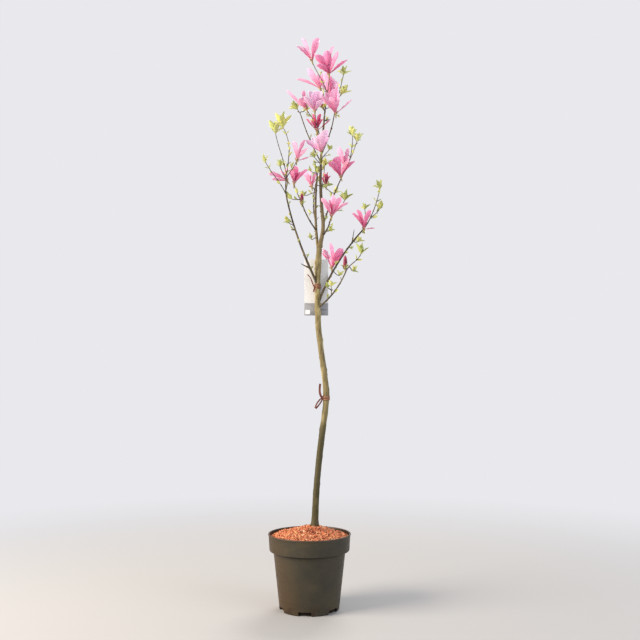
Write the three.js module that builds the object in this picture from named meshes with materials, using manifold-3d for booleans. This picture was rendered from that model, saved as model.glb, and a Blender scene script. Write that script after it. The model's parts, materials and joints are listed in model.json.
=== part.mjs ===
// A young magnolia standard in bloom, standing in a round nursery container.
//
// Millimetres, +Z up, origin at the centre of the container's flat underside, front towards -Y.
// The container and its root ball carry a slender trunk with a crook in it. The trunk forks into
// two leaders, boughs leave trunk and leaders, and each bough ends in a spray: a stem that goes
// on from the bough, shoots that leave the stem, and a flower, a bud or a tuft of young leaves at
// the end of each shoot. Two strap ties go round the trunk, and the upper one holds a plain card.

import * as THREE from "three";
import { mergeVertices } from "three/addons/utils/BufferGeometryUtils.js";
import Module from "manifold-3d";

const wasm = await Module();
wasm.setup();

// ---------------------------------------------------------------- driving dimensions

const GAP = 0.3; // left between two pieces that touch
const CLEAR = 1.5; // kept round a limb where it leaves its parent, and round every leaf
const SLIVER = 0.05; // edges shorter than this are closed up where pieces are joined
const GOLDEN_ANGLE = 137.508; // degrees from one leaf or tepal to the next

const POT = {
  height: 265,
  baseRadius: 108,
  neckRadius: 130, // under the rim band
  bandHeight: 60,
  bandRadius: 145, // at the foot of the rim band
  rimRadius: 150,
  wall: 2.5,
  floor: 4,
  footBevel: 4,
  drains: 6,
  drainWidth: 46,
  drainHeight: 15,
  drainDepth: 12,
  drainTurn: -8, // degrees from the front to the first drain slot
  sides: 36,
};

const SUBSTRATE = {
  edgeHeight: 257,
  crownHeight: 292.7, // flat seat under the trunk
  seatRadius: 40,
  roughness: 3.5,
  seed: 7,
  rings: [62, 84, 106, 127], // radii of the rough rings between seat and edge
};

// The trunk's axis: height, then offset to the right and to the back. It starts a little under
// the ground and is cut off flat there.
const TRUNK = {
  ground: 293,
  axis: [
    [280, 18.4, 0],
    [400, 24, 2],
    [510, 33, 3],
    [620, 46, 1],
    [725, 59.5, -2],
    [785, 60.5, -3],
    [855, 52.5, -2],
    [940, 41, 1],
    [1030, 31.5, 3],
    [1130, 29.5, 2],
    [1230, 30, 0],
    [1329, 36.5, 0],
  ],
  footDiameter: 24,
  forkDiameter: 19.5,
  flare: 10, // added to the diameter at ground level
  flareReach: 15,
  swellings: [
    { height: 760, extra: 1.5, reach: 18 },
    { height: 1075, extra: 2.5, reach: 30 },
    { height: 1245, extra: 4, reach: 45 },
  ],
  sides: 12,
  step: 32,
};

// Each bough leaves its parent at a height and ends at its tip. Bow is how far its middle lies
// off the straight line between the two, and the diameters are those of its foot and its tip.
const BOUGHS = {
  central_leader: {
    from: "trunk",
    foot: 1316,
    axis: [
      [1393, 50, -6],
      [1482, 44, -5],
      [1581, 40, 0],
      [1692, 44, 5],
      [1830, 55, 0],
    ],
    diameters: [16.5, 6.5],
    sides: 10,
  },
  left_leader: {
    from: "trunk",
    foot: 1290,
    tip: [27, 30, 1598],
    bow: [-9, 0, 0],
    diameters: [12, 6.5],
    sides: 9,
  },
  left_bough: {
    from: "trunk",
    foot: 1178,
    tip: [-83, -90, 1479],
    bow: [-11, -11, 0],
    diameters: [10, 5.5],
    sides: 8,
  },
  right_bough: {
    from: "trunk",
    foot: 1102,
    tip: [206, 105, 1410],
    bow: [-16, -34, 0],
    diameters: [9.5, 5.5],
    sides: 8,
  },
  right_low_bough: {
    from: "trunk",
    foot: 1092,
    tip: [133, -100, 1212],
    bow: [6, -6, -14],
    diameters: [7, 4.5],
    sides: 7,
  },
  left_inner_bough: {
    from: "left_leader",
    foot: 1388,
    tip: [-27, -55, 1469],
    bow: [-3, -6, -5],
    diameters: [6, 4.4],
    sides: 7,
  },
  back_bough: {
    from: "left_leader",
    foot: 1432,
    tip: [14, 110, 1549],
    bow: [-4, 10, -10],
    diameters: [6, 4.4],
    sides: 7,
  },
  front_bough: {
    from: "central_leader",
    foot: 1372,
    tip: [76, -130, 1396],
    bow: [2, -8, -12],
    diameters: [6, 4.6],
    sides: 7,
  },
  right_upper_bough: {
    from: "central_leader",
    foot: 1404,
    tip: [118, 106, 1610],
    bow: [-6, 4, -6],
    diameters: [6.5, 4.6],
    sides: 7,
  },
  top_left_bough: {
    from: "central_leader",
    foot: 1652,
    tip: [-37, 60, 1860],
    bow: [-4, 6, -2],
    diameters: [5, 3.8],
    sides: 6,
  },
  top_right_bough: {
    from: "central_leader",
    foot: 1684,
    tip: [90, -45, 1808],
    bow: [6, -5, 0],
    diameters: [5, 4],
    sides: 6,
  },
};
const BOUGH_STEP = 32;

// Snags and short dark spurs on the bark: where they leave, which way they point and how far.
const SPURS = [
  { from: "left_bough", foot: 1236, reach: [-34, -8, 16], diameters: [5, 3.6] },
  { from: "central_leader", foot: 1360, reach: [17, 6, 22], diameters: [5, 3.4] },
  { from: "central_leader", foot: 1815, reach: [26, 4, 9], diameters: [4, 2.6] },
  { from: "left_bough", foot: 1372, reach: [-16, -4, 1], diameters: [4.4, 3.4] },
  { from: "right_bough", foot: 1350, reach: [9, -14, 52], diameters: [3.6, 2.6] },
];

const SUNK = 4; // how far a head's root reaches down into the end of its shoot
const BLOOM = {
  tepals: 6,
  length: 100,
  width: 24,
  thickness: 1.3,
  rootAngles: [6, 26], // degrees from the axis, innermost and outermost tepal
  tipAngles: [0.35, 1.45], // shares of the bloom's own opening angle
  flopAngles: [45, 100], // root and tip of a tepal that has flopped out
  cupRadius: 5.5,
  cupLength: 16,
  firstTurn: 20, // degrees from the front to the innermost tepal
  turnSpread: 9, // degrees either way
  openSpread: 8,
  lengthSpread: [0.88, 1.06],
  widthSpread: [0.85, 1.1],
};
const BUD = { length: 42, radius: 6.5 };
const TUFT = {
  leaves: 5,
  tipAngles: [14, 74], // degrees from the axis, innermost and outermost leaf
  widthShare: 0.4,
  thickness: 0.9,
  firstTurn: 40,
  turnSpread: 14,
  angleSpread: 9,
  lengthSpread: [0.78, 1.1],
  rootOut: 0.3, // of a leaf's root from the middle of its shoot
};
const SHOOT = { foot: 3.6, tip: 2.5, step: 30, sides: 3, steepness: 0.55 };

// Small pairs of leaves along the shoots.
const SIDE_LEAVES = { spacing: 66, chance: 0.75, length: [17, 27], angles: [48, 60], apart: 150 };

const bloom = (off, x, y, z, more = {}) => ({ kind: "bloom", off, at: [x, y, z], ...more });
const bud = (off, x, y, z, more = {}) => ({ kind: "bud", off, at: [x, y, z], ...more });
const tuft = (off, x, y, z, more = {}) => ({ kind: "tuft", off, at: [x, y, z], ...more });

// Each spray's stem goes on from its bough's tip, or leaves a limb at a height, and ends at the
// spray's first head. Each other head has a shoot, which leaves the stem after a share of its
// length. Lean tips a head's axis to the right and to the back, open is how wide a bloom is in
// degrees, flop is the way one more tepal has flopped out (from the front, by the right, to the
// back), and size scales a head or is the length of a tuft's leaves. Bow pushes a shoot's far
// end aside before it comes to its head.
const SPRAYS = {
  left_spray: {
    from: "left_bough",
    seed: 11,
    heads: [
      tuft(1, -101, -55, 1768, { size: 54, leaves: 6, lean: [-0.1, 0], bow: [45, 0, 0] }),
      tuft(0.06, -161, -125, 1611, { size: 29, lean: [-0.4, 0] }),
      bloom(0.1, -85, -58, 1562, { lean: [-0.6, 0.1], open: 36, size: 0.72, flop: 270 }),
      tuft(0.24, -108, -112, 1600, { size: 31 }),
      tuft(0.3, -127, -95, 1732, { size: 50, leaves: 7, lean: [-0.1, 0] }),
      bloom(0.26, -42, -70, 1635, { lean: [0.05, 0], open: 30, size: 0.8, flop: 80 }),
    ],
  },
  left_inner_spray: {
    from: "left_inner_bough",
    seed: 23,
    heads: [
      bloom(1, -59, -38, 1556, { lean: [0.08, 0], open: 36, size: 0.78, flop: 110 }),
      bud(0.12, -29, -66, 1477),
      tuft(0.2, -66, -72, 1487, { size: 38, lean: [-1, 0], leaves: 3 }),
    ],
  },
  left_leader_spray: {
    from: "left_leader",
    seed: 31,
    heads: [
      tuft(1, 20, 44, 1640, { size: 22, leaves: 4 }),
      tuft(0.4, 2, 56, 1634, { size: 20, leaves: 3, lean: [-0.3, 0.1] }),
    ],
  },
  back_spray: {
    from: "back_bough",
    seed: 43,
    heads: [
      tuft(1, 30, 158, 1660, { size: 34, lean: [0.1, 0.4] }),
      bloom(0.25, 5, 118, 1588, { lean: [-0.15, 0.25], open: 32, size: 0.76, flop: 215 }),
      tuft(0.1, -26, 150, 1562, { size: 28, lean: [-0.5, 0.5] }),
      tuft(0.4, 62, 178, 1610, { size: 30, lean: [0.5, 0.5] }),
    ],
  },
  top_spray: {
    from: "central_leader",
    seed: 57,
    heads: [
      bloom(1, 73, -45, 1982, { lean: [-0.1, -0.15], open: 42, size: 1.08, tepals: 8, flop: 65 }),
      bloom(0.28, 38, 66, 1972, { lean: [-0.3, 0.3], open: 40, size: 0.9, flop: 285 }),
      bloom(0.36, 80, 52, 1936, { lean: [0.15, 0.2], open: 28, size: 0.82 }),
      bloom(0.5, 7, 12, 2052, { lean: [-0.22, 0], open: 36, size: 0.98 }),
      bud(0.12, 46, -22, 1866, { size: 0.6, lean: [-0.3, -0.1] }),
      tuft(0.18, 74, 18, 1876, { size: 20, leaves: 3, lean: [0.4, 0] }),
    ],
  },
  top_front_spray: {
    from: "central_leader",
    foot: 1704,
    seed: 61,
    heads: [
      bloom(1, 19, -78, 1830, { lean: [0, -0.25], open: 28, size: 0.98 }),
      bloom(0.6, -24, -34, 1862, { lean: [-0.3, 0.1], open: 42, size: 0.86, flop: 290 }),
      bloom(0.3, 27, -72, 1756, { lean: [-0.05, -0.35], open: 24, size: 0.72 }),
    ],
  },
  top_right_spray: {
    from: "top_right_bough",
    seed: 73,
    heads: [
      tuft(1, 129, -20, 1992, { size: 34, lean: [0.2, 0] }),
      bloom(0.05, 97, -84, 1822, { lean: [-0.05, -0.3], open: 36, size: 0.84, flop: 75 }),
      tuft(0.42, 122, -60, 1898, { size: 34, lean: [0.5, -0.2] }),
    ],
  },
  top_left_spray: {
    from: "top_left_bough",
    seed: 83,
    heads: [
      tuft(1, -52, 62, 1896, { size: 38, lean: [-0.45, 0] }),
      tuft(0.3, -22, 92, 1892, { size: 30, lean: [0.3, 0.4] }),
    ],
  },
  right_upper_spray: {
    from: "right_upper_bough",
    seed: 97,
    heads: [
      tuft(1, 185, 95, 1768, { size: 30, lean: [0.15, 0] }),
      bloom(0.06, 120, 72, 1615, { lean: [-0.3, -0.3], open: 36, size: 0.88, tepals: 7 }),
      bloom(0.2, 136, 132, 1672, { lean: [0.05, 0.3], open: 34, size: 0.9 }),
      tuft(0.52, 170, 150, 1812, { size: 30, lean: [-0.1, 0.3] }),
    ],
  },
  right_spray: {
    from: "right_bough",
    seed: 103,
    heads: [
      tuft(1, 277, 120, 1582, { size: 36 }),
      bloom(0.05, 210, 78, 1408, { lean: [-0.05, -0.25], open: 38, size: 0.86, flop: 75 }),
      tuft(0.3, 269, 60, 1483, { size: 34, lean: [0.3, -0.2] }),
      tuft(0.14, 219, 162, 1510, { size: 26, lean: [0, 0.2] }),
    ],
  },
  right_side_spray: {
    from: "right_bough",
    foot: 1352,
    seed: 109,
    heads: [tuft(1, 187, 112, 1366, { size: 28, lean: [0.7, 0.3] })],
  },
  right_low_spray: {
    from: "right_low_bough",
    seed: 113,
    heads: [
      tuft(1, 185, -146, 1268, { size: 42, leaves: 4 }),
      bud(0.06, 129, -110, 1226, { lean: [0, -0.1] }),
      tuft(0.2, 158, -82, 1216, { size: 26, leaves: 4, lean: [0.8, 0.4] }),
    ],
  },
  right_low_side_spray: {
    from: "right_low_bough",
    foot: 1128,
    seed: 127,
    heads: [
      tuft(1, 80, -32, 1168, { size: 25, lean: [0.1, 0.5] }),
      tuft(0.5, 66, -62, 1158, { size: 22, lean: [-0.2, -0.7], leaves: 4 }),
    ],
  },
  right_inner_spray: {
    from: "right_bough",
    foot: 1226,
    seed: 131,
    heads: [
      bloom(1, 84, 68, 1260, { lean: [0.05, 0.2], open: 38, size: 0.94, flop: 300 }),
      tuft(0.5, 112, 62, 1222, { size: 26, lean: [0.9, 0.5], leaves: 3 }),
    ],
  },
  front_spray: {
    from: "front_bough",
    seed: 149,
    heads: [
      tuft(1, 127, -168, 1458, { size: 38, lean: [0.1, -0.1] }),
      bloom(0.1, 80, -146, 1404, { lean: [0.1, -0.3], open: 36, size: 0.84, tepals: 7, flop: 40 }),
    ],
  },
  upper_front_spray: {
    from: "central_leader",
    foot: 1600,
    seed: 151,
    heads: [
      bloom(1, 46, -104, 1664, { lean: [-0.2, -0.5], open: 38, size: 0.8, flop: 290 }),
      tuft(0.4, 17, -50, 1655, { size: 28, lean: [-0.3, 0] }),
      tuft(0.7, 72, -76, 1674, { size: 24, lean: [0.6, 0], leaves: 3 }),
    ],
  },
  upper_back_spray: {
    from: "central_leader",
    foot: 1500,
    seed: 167,
    heads: [
      tuft(1, 56, 98, 1668, { size: 40, leaves: 4 }),
      bloom(0.45, 62, 46, 1580, { lean: [0, -0.1], open: 15, size: 0.62, tepals: 5 }),
      tuft(0.4, 96, 92, 1556, { size: 27, lean: [0.6, 0.3] }),
    ],
  },
  fork_left_spray: {
    from: "left_leader",
    foot: 1354,
    seed: 173,
    heads: [tuft(1, 4, -44, 1344, { size: 24, leaves: 4, lean: [-0.3, -0.3] })],
  },
  fork_right_spray: {
    from: "central_leader",
    foot: 1374,
    seed: 181,
    heads: [tuft(1, 76, 48, 1396, { size: 26, leaves: 4, lean: [0.4, 0.4] })],
  },
  left_side_spray: {
    from: "left_bough",
    foot: 1384,
    seed: 191,
    heads: [tuft(1, -78, -94, 1394, { size: 30, leaves: 3, lean: [-0.5, -0.4] })],
  },
};

// Strap ties round the trunk: how far the inside of the band reaches back from the trunk's axis,
// if it isn't snug, where the knot's middle lies, and the points of the two loose tails. These
// are to the right, to the back of the band's front face, and up from the band's middle.
const TIES = {
  stem_tie: {
    height: 753,
    band: 15,
    knot: [-4, -1.5, 1],
    raised: [
      [-5, -1, 2],
      [-21, -3, 12],
      [-25, -2, 32],
      [-24, 0, 52],
    ],
    hanging: [
      [-5, -1, -1],
      [-22, -3, -10],
      [-33, -2, -24],
      [-41, 2, -40],
    ],
  },
  upper_tie: {
    height: 1170,
    band: 20,
    reachBack: 17.2,
    knot: [-7, -1.5, -2],
    raised: [
      [-8, -1, 0],
      [-18, -1, 6],
      [-24, 0, 22],
      [-38, 2, 45],
    ],
    hanging: [
      [-8, -1, -4],
      [-13, 0, -12],
      [-15, 1, -22],
    ],
  },
};
const STRAP = { thickness: 1.6, tail: 7, flatness: 0.35, knot: [9, 6, 11], sides: 16 };

const CARD = {
  width: 90,
  height: 214,
  thickness: 1.2,
  bandHeight: 47, // grey band along the bottom edge
  topHeight: 1276, // of the card's top edge above the underside of the pot
  behind: 14, // from the trunk's axis to the card's face
  offCentre: 5, // of the card to the left of the trunk's axis
  slots: [4.4, 10], // from the trunk's axis to either edge of each slot that the upper tie passes
  slotSpare: 1.4, // height of a slot over that of the tie's band
};

const COLOURS = {
  pot: "#4f4b40",
  substrate: "#a8603f",
  bark: "#9c8f5e",
  bough: "#6d6440",
  spray: "#dc86aa",
  tie: "#7c3328",
  card: "#f1f2f2",
  cardBand: "#8e8f90",
};

// ---------------------------------------------------------------- seeded rule

// A repeatable series of numbers from 0 to 1.
function dice(seed) {
  let state = seed >>> 0;
  return () => {
    state = (state + 0x6d2b79f5) >>> 0;
    let t = state;
    t = Math.imul(t ^ (t >>> 15), t | 1);
    t ^= t + Math.imul(t ^ (t >>> 7), t | 61);
    return ((t ^ (t >>> 14)) >>> 0) / 4294967296;
  };
}

const mix = (low, high, share) => low + (high - low) * share;
const spread = (reach, roll) => mix(-reach, reach, roll());
const radians = THREE.MathUtils.degToRad;
const vector = (xyz) => new THREE.Vector3(...xyz);

// ---------------------------------------------------------------- solids

// Moves every vertex of a geometry to place(x, y, z, index).
function reshape(geometry, place) {
  const position = geometry.getAttribute("position");
  for (let i = 0; i < position.count; i++) {
    const { x, y, z } = place(position.getX(i), position.getY(i), position.getZ(i), i);
    position.setXYZ(i, x, y, z);
  }
  return geometry;
}

function solidOf(geometry) {
  const bare = geometry.clone();
  bare.deleteAttribute("normal");
  bare.deleteAttribute("uv");
  const merged = mergeVertices(bare, 1e-4);
  return new wasm.Manifold(
    new wasm.Mesh({
      numProp: 3,
      vertProperties: merged.getAttribute("position").array,
      triVerts: new Uint32Array(merged.index.array),
    }),
  );
}

// One body out of many: loose scraps are dropped, sealed hollows filled and slivers closed up.
function fuse(solids) {
  const bodies = wasm.Manifold.union(solids).decompose();
  const body = bodies.reduce((best, other) => (other.volume() > best.volume() ? other : best));
  return body.simplify(SLIVER);
}

function geometryOf(solid) {
  const { vertProperties, triVerts } = solid.getMesh();
  const geometry = new THREE.BufferGeometry();
  geometry.setAttribute("position", new THREE.BufferAttribute(vertProperties, 3));
  geometry.setIndex(new THREE.BufferAttribute(triVerts, 1));
  geometry.computeVertexNormals();
  return geometry;
}

// ---------------------------------------------------------------- limbs

// A limb follows a curve, and its thickness is a function of the share of its length.
class Limb {
  constructor(curve, radiusAtShare) {
    this.curve = curve;
    this.radiusAtShare = radiusAtShare;
    this.length = curve.getLength();
    const chord = curve.getPointAt(1).sub(curve.getPointAt(0));
    const upright = Math.abs(chord.x) < 0.8 * chord.length();
    this.reference = upright ? new THREE.Vector3(1, 0, 0) : new THREE.Vector3(0, 1, 0);
  }

  share(s) {
    return THREE.MathUtils.clamp(s / this.length, 0, 1);
  }

  radius(s) {
    return this.radiusAtShare(this.share(s));
  }

  point(s) {
    return this.curve.getPointAt(this.share(s));
  }

  tangent(s) {
    return this.curve.getTangentAt(this.share(s));
  }

  // Centre and the two directions across the limb at a length along it.
  frame(s) {
    const tangent = this.tangent(s);
    const side = this.reference.clone();
    side.addScaledVector(tangent, -side.dot(tangent)).normalize();
    return { centre: this.point(s), side, front: side.clone().cross(tangent) };
  }

  // The length along the limb at which it reaches a height.
  at(height) {
    let low = 0;
    let high = this.length;
    for (let i = 0; i < 40; i++) {
      const middle = (low + high) / 2;
      if (this.point(middle).z < height) low = middle;
      else high = middle;
    }
    return low;
  }

  // The distance from a point to the limb's surface, taken at close stations along its axis.
  distanceTo(point) {
    this.stations ??= Array.from({ length: Math.ceil(this.length / 3) + 1 }, (_, i, all) => {
      const s = Math.min(i * 3, this.length);
      return { centre: this.point(s), radius: this.radius(s) };
    });
    return this.stations.reduce(
      (least, { centre, radius }) => Math.min(least, centre.distanceTo(point) - radius),
      Infinity,
    );
  }
}

// A bar along a stretch of a limb, cut off at both ends. Flatness is its thickness from front to
// back as a share of its width.
function bar(limb, from, to, sides, step, flatness = 1) {
  const rings = Math.max(1, Math.round((to - from) / step));
  const geometry = new THREE.CylinderGeometry(1, 1, 1, sides, rings);
  return reshape(geometry, (x, y, z) => {
    const s = mix(from, to, y + 0.5);
    const { centre, side, front } = limb.frame(s);
    const radius = limb.radius(s);
    centre.addScaledVector(side, x * radius);
    return centre.addScaledVector(front, z * radius * flatness);
  });
}

// A body that is pointed at both ends, along a spine: a leaf, a tepal, a bud or a flower's cup.
function spindle(spine, halfWidth, halfThickness, sides, rings) {
  const geometry = new THREE.SphereGeometry(1, sides, rings + 1);
  return reshape(geometry, (x, y, z) => {
    const share = 1 - Math.acos(THREE.MathUtils.clamp(y, -1, 1)) / Math.PI;
    const around = Math.hypot(x, z);
    const { centre, side, front } = spine(share);
    if (around < 1e-6) return centre;
    return centre
      .addScaledVector(side, (x / around) * halfWidth(share))
      .addScaledVector(front, (z / around) * halfThickness(share));
  });
}

// A spine that leaves its root at one angle from an axis and ends at another, along an arc.
function arcSpine(root, axis, out, length, rootAngle, tipAngle) {
  const turn = Math.abs(tipAngle - rootAngle) < 0.01 ? 0.01 : tipAngle - rootAngle;
  const side = axis.clone().cross(out);
  return (share) => {
    const angle = rootAngle + turn * share;
    const along = ((Math.sin(angle) - Math.sin(rootAngle)) * length) / turn;
    const outward = ((Math.cos(rootAngle) - Math.cos(angle)) * length) / turn;
    return {
      centre: root.clone().addScaledVector(axis, along).addScaledVector(out, outward),
      side,
      front: out.clone().multiplyScalar(Math.cos(angle)).addScaledVector(axis, -Math.sin(angle)),
    };
  };
}

// The direction across an axis after a turn about it, from the front.
function outward(axis, degrees) {
  const across = new THREE.Vector3(1, 0, 0).addScaledVector(axis, -axis.x).normalize();
  const ahead = across.clone().cross(axis);
  const angle = radians(degrees);
  return across.multiplyScalar(Math.sin(angle)).addScaledVector(ahead, Math.cos(angle));
}

// A rising curve from a start, where it leaves along one direction, to an end, where it
// arrives along another.
function sweep(start, leaving, end, arriving) {
  const third = start.distanceTo(end) / 3;
  return new THREE.CubicBezierCurve3(
    start,
    start.clone().addScaledVector(leaving, third),
    end.clone().addScaledVector(arriving, -third),
    end,
  );
}

// ---------------------------------------------------------------- trunk and boughs

function trunkLimb() {
  const points = TRUNK.axis.map(([height, right, back]) => new THREE.Vector3(right, back, height));
  const curve = new THREE.CatmullRomCurve3(points, false, "catmullrom", 0.5);
  return new Limb(curve, (share) => {
    const height = curve.getPointAt(share).z;
    const swelling = TRUNK.swellings.reduce(
      (sum, s) => sum + s.extra * Math.exp(-(((height - s.height) / s.reach) ** 2)),
      0,
    );
    const rise = Math.max(height - TRUNK.ground, 0);
    const flare = TRUNK.flare * Math.exp(-rise / TRUNK.flareReach);
    return (mix(TRUNK.footDiameter, TRUNK.forkDiameter, share) + swelling + flare) / 2;
  });
}

function boughLimb(bough, parent) {
  const foot = parent.point(parent.at(bough.foot));
  const [thick, thin] = bough.diameters;
  const radiusAtShare = (share) => mix(thick, thin, share ** 0.8) / 2;
  if (bough.axis) {
    const points = bough.axis.map(([height, right, back]) => vector([right, back, height]));
    const curve = new THREE.CatmullRomCurve3([foot, ...points], false, "catmullrom", 0.5);
    return new Limb(curve, radiusAtShare);
  }
  const tip = vector(bough.tip);
  const pull = foot.clone().add(tip).multiplyScalar(0.5).addScaledVector(vector(bough.bow), 2);
  return new Limb(new THREE.QuadraticBezierCurve3(foot, pull, tip), radiusAtShare);
}

const limbs = { trunk: trunkLimb() };
for (const [name, bough] of Object.entries(BOUGHS)) {
  limbs[name] = boughLimb(bough, limbs[bough.from]);
  limbs[name].parent = limbs[bough.from];
}

// The length after which a limb that leaves the side of another is clear of every other limb,
// apart from those that it carries itself.
function collarLength(limb) {
  const others = Object.values(limbs).filter((other) => other !== limb && other.parent !== limb);
  let s = 0;
  while (others.some((other) => other.distanceTo(limb.point(s)) < limb.radius(s) + CLEAR)) s += 1;
  return s;
}

// Limbs and stems that leave a parent's side: the parent carries their first stretch, a collar.
const collars = [];
function leaveSide(parentName, limb, sides) {
  const length = collarLength(limb);
  collars.push({ parentName, solid: solidOf(bar(limb, 0, length, sides, BOUGH_STEP)) });
  return length + GAP;
}

for (const [name, bough] of Object.entries(BOUGHS)) {
  limbs[name].start = leaveSide(bough.from, limbs[name], bough.sides);
}
limbs.trunk.start = 0;

// ---------------------------------------------------------------- sprays

function shootCurve(start, leaving, head) {
  const [right = 0, back = 0] = head.lean ?? [];
  const axis = vector([right, back, 1]).normalize();
  const end = vector(head.at);
  const straight = end.clone().sub(start).normalize();
  const curve = sweep(start, leaving, end, straight.add(axis).normalize());
  curve.v2.add(vector(head.bow ?? [0, 0, 0]));
  return { axis, curve };
}

function leavingDirection(tangent, start, head) {
  const straight = vector(head.at).sub(start).normalize();
  return tangent.clone().lerp(straight, SHOOT.steepness).normalize();
}

// The stem and the shoots of a spray, each as a limb with the head that it carries.
function sprayShoots(spray) {
  const parent = limbs[spray.from];
  const onSide = spray.foot !== undefined;
  const s = onSide ? parent.at(spray.foot) : parent.length;
  const start = parent.point(s);
  const [first, ...rest] = spray.heads;
  const tangent = parent.tangent(s);
  const leaving = onSide ? leavingDirection(tangent, start, first) : tangent;
  const stemFoot = onSide ? SHOOT.foot : parent.radius(s) * 2;
  const stem = shootCurve(start, leaving, first);
  const stemRadius = (share) => mix(stemFoot, SHOOT.tip, share ** 0.7) / 2;
  const stemLimb = new Limb(stem.curve, stemRadius);
  const shoots = [{ limb: stemLimb, head: first, axis: stem.axis, start: GAP }];
  if (onSide) shoots[0].start = leaveSide(spray.from, stemLimb, 6);
  for (const head of rest) {
    const off = Math.max(head.off * stemLimb.length, shoots[0].start + 3);
    const root = stemLimb.point(off);
    const way = leavingDirection(stemLimb.tangent(off), root, head);
    const shoot = shootCurve(root, way, head);
    const shootRadius = (share) => mix(SHOOT.foot, SHOOT.tip, share) / 2;
    shoots.push({ limb: new Limb(shoot.curve, shootRadius), head, axis: shoot.axis, start: 0 });
  }
  return shoots;
}

// A tepal: narrow at its root, widest at three quarters of its length.
function tepal(root, axis, out, length, width, rootAngle, tipAngle, extra) {
  const arc = arcSpine(root, axis, out, length, rootAngle, tipAngle);
  const spine = (share) => arc(share ** 0.72);
  const halfWidth = (share) => (width / 2) * (share < 0.5 ? 0.6 : 1) + extra;
  const halfThickness = () => BLOOM.thickness / 2 + extra;
  return spindle(spine, halfWidth, halfThickness, 4, 2);
}

function leaf(root, axis, out, length, rootAngle, tipAngle, extra) {
  const spine = arcSpine(root, axis, out, length, rootAngle, tipAngle);
  const halfWidth = () => (length * TUFT.widthShare) / 2 + extra;
  const halfThickness = () => TUFT.thickness / 2 + extra;
  return spindle(spine, halfWidth, halfThickness, 4, 1);
}

// Each head is a list of recipes: piece(0) is the piece itself and piece(CLEAR) a fatter copy,
// which shows whether the piece would come too close to a neighbour.
function bloomPieces(head, axis, roll) {
  const size = head.size ?? 1;
  const count = head.tepals ?? BLOOM.tepals;
  const base = vector(head.at);
  const root = base.clone().addScaledVector(axis, BLOOM.cupLength * 0.45);
  const cupRoot = base.clone().addScaledVector(axis, -SUNK);
  const cup = arcSpine(cupRoot, axis, outward(axis, 0), BLOOM.cupLength + SUNK, 0, 0);
  const pieces = [() => spindle(cup, () => BLOOM.cupRadius, () => BLOOM.cupRadius, 5, 1)];
  const tepals = [];
  for (let i = 0; i < count; i++) {
    const rank = i / (count - 1);
    const out = outward(axis, BLOOM.firstTurn + i * GOLDEN_ANGLE + spread(BLOOM.turnSpread, roll));
    const length = BLOOM.length * size * mix(...BLOOM.lengthSpread, roll());
    const width = BLOOM.width * size * mix(...BLOOM.widthSpread, roll());
    const opening = head.open * mix(...BLOOM.tipAngles, rank) + spread(BLOOM.openSpread, roll);
    tepals.push([out, length, width, radians(mix(...BLOOM.rootAngles, rank)), radians(opening)]);
  }
  if (head.flop !== undefined) {
    const angles = BLOOM.flopAngles.map(radians);
    tepals.push([outward(axis, head.flop), BLOOM.length * size * 0.85, BLOOM.width * size, ...angles]);
  }
  for (const [out, ...shape] of tepals) {
    const own = root.clone().addScaledVector(out, BLOOM.cupRadius * 0.4);
    pieces.push((extra) => tepal(own, axis, out, ...shape, extra));
  }
  return pieces;
}

function budPieces(head, axis) {
  const size = head.size ?? 1;
  const root = vector(head.at).addScaledVector(axis, -SUNK);
  const spine = arcSpine(root, axis, outward(axis, 0), BUD.length * size + SUNK, 0, 0);
  const fatness = (share) => BUD.radius * Math.sqrt(size) * (share < 0.4 ? 0.9 : 0.75);
  return [(extra) => spindle(spine, (s) => fatness(s) + extra, (s) => fatness(s) + extra, 5, 2)];
}

function tuftPieces(head, axis, roll) {
  const count = head.leaves ?? TUFT.leaves;
  const tip = vector(head.at);
  return Array.from({ length: count }, (_, i) => {
    const out = outward(axis, TUFT.firstTurn + i * GOLDEN_ANGLE + spread(TUFT.turnSpread, roll));
    const depth = SUNK * (0.4 + (0.6 * i) / count);
    const root = tip.clone().addScaledVector(axis, -depth).addScaledVector(out, TUFT.rootOut);
    const length = head.size * mix(...TUFT.lengthSpread, roll());
    const opening = mix(...TUFT.tipAngles, i / (count - 1)) + spread(TUFT.angleSpread, roll);
    const tipAngle = radians(opening);
    return (extra) => leaf(root, axis, out, length, tipAngle * 0.5, tipAngle, extra);
  });
}

// Pairs of small leaves on short stalks, dealt along a shoot by the golden angle.
function sideLeafPieces(shoot, roll) {
  const pieces = [];
  const count = Math.floor((shoot.limb.length - shoot.start) / SIDE_LEAVES.spacing);
  for (let i = 0; i < count; i++) {
    const s = mix(shoot.start, shoot.limb.length, (i + 0.35 + 0.4 * roll()) / count);
    const turn = 360 * roll();
    const length = mix(...SIDE_LEAVES.length, roll());
    const grown = roll() < SIDE_LEAVES.chance;
    if (!grown) continue;
    const tangent = shoot.limb.tangent(s);
    const root = shoot.limb.point(s);
    for (const half of [0, 1]) {
      const out = outward(tangent, turn + i * GOLDEN_ANGLE + half * SIDE_LEAVES.apart);
      const angle = radians(SIDE_LEAVES.angles[half]);
      pieces.push((extra) => leaf(root, tangent, out, length, angle * 0.7, angle, extra));
    }
  }
  return pieces;
}

const HEAD_PIECES = { bloom: bloomPieces, bud: budPieces, tuft: tuftPieces };

// ---------------------------------------------------------------- fitting the pieces together

const sprayPlans = Object.entries(SPRAYS).map(([name, spray]) => {
  const shoots = sprayShoots(spray);
  const bars = shoots.map(({ limb, start }) =>
    solidOf(bar(limb, start, limb.length, SHOOT.sides, SHOOT.step)),
  );
  return { name, spray, shoots, bars };
});

function spurSolid(spur) {
  const parent = limbs[spur.from];
  const foot = parent.point(parent.at(spur.foot));
  const tip = foot.clone().add(vector(spur.reach));
  const [thick, thin] = spur.diameters;
  const limb = new Limb(new THREE.LineCurve3(foot, tip), (share) => mix(thick, thin, share) / 2);
  return solidOf(bar(limb, 0, limb.length, 5, limb.length / 2));
}

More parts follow.
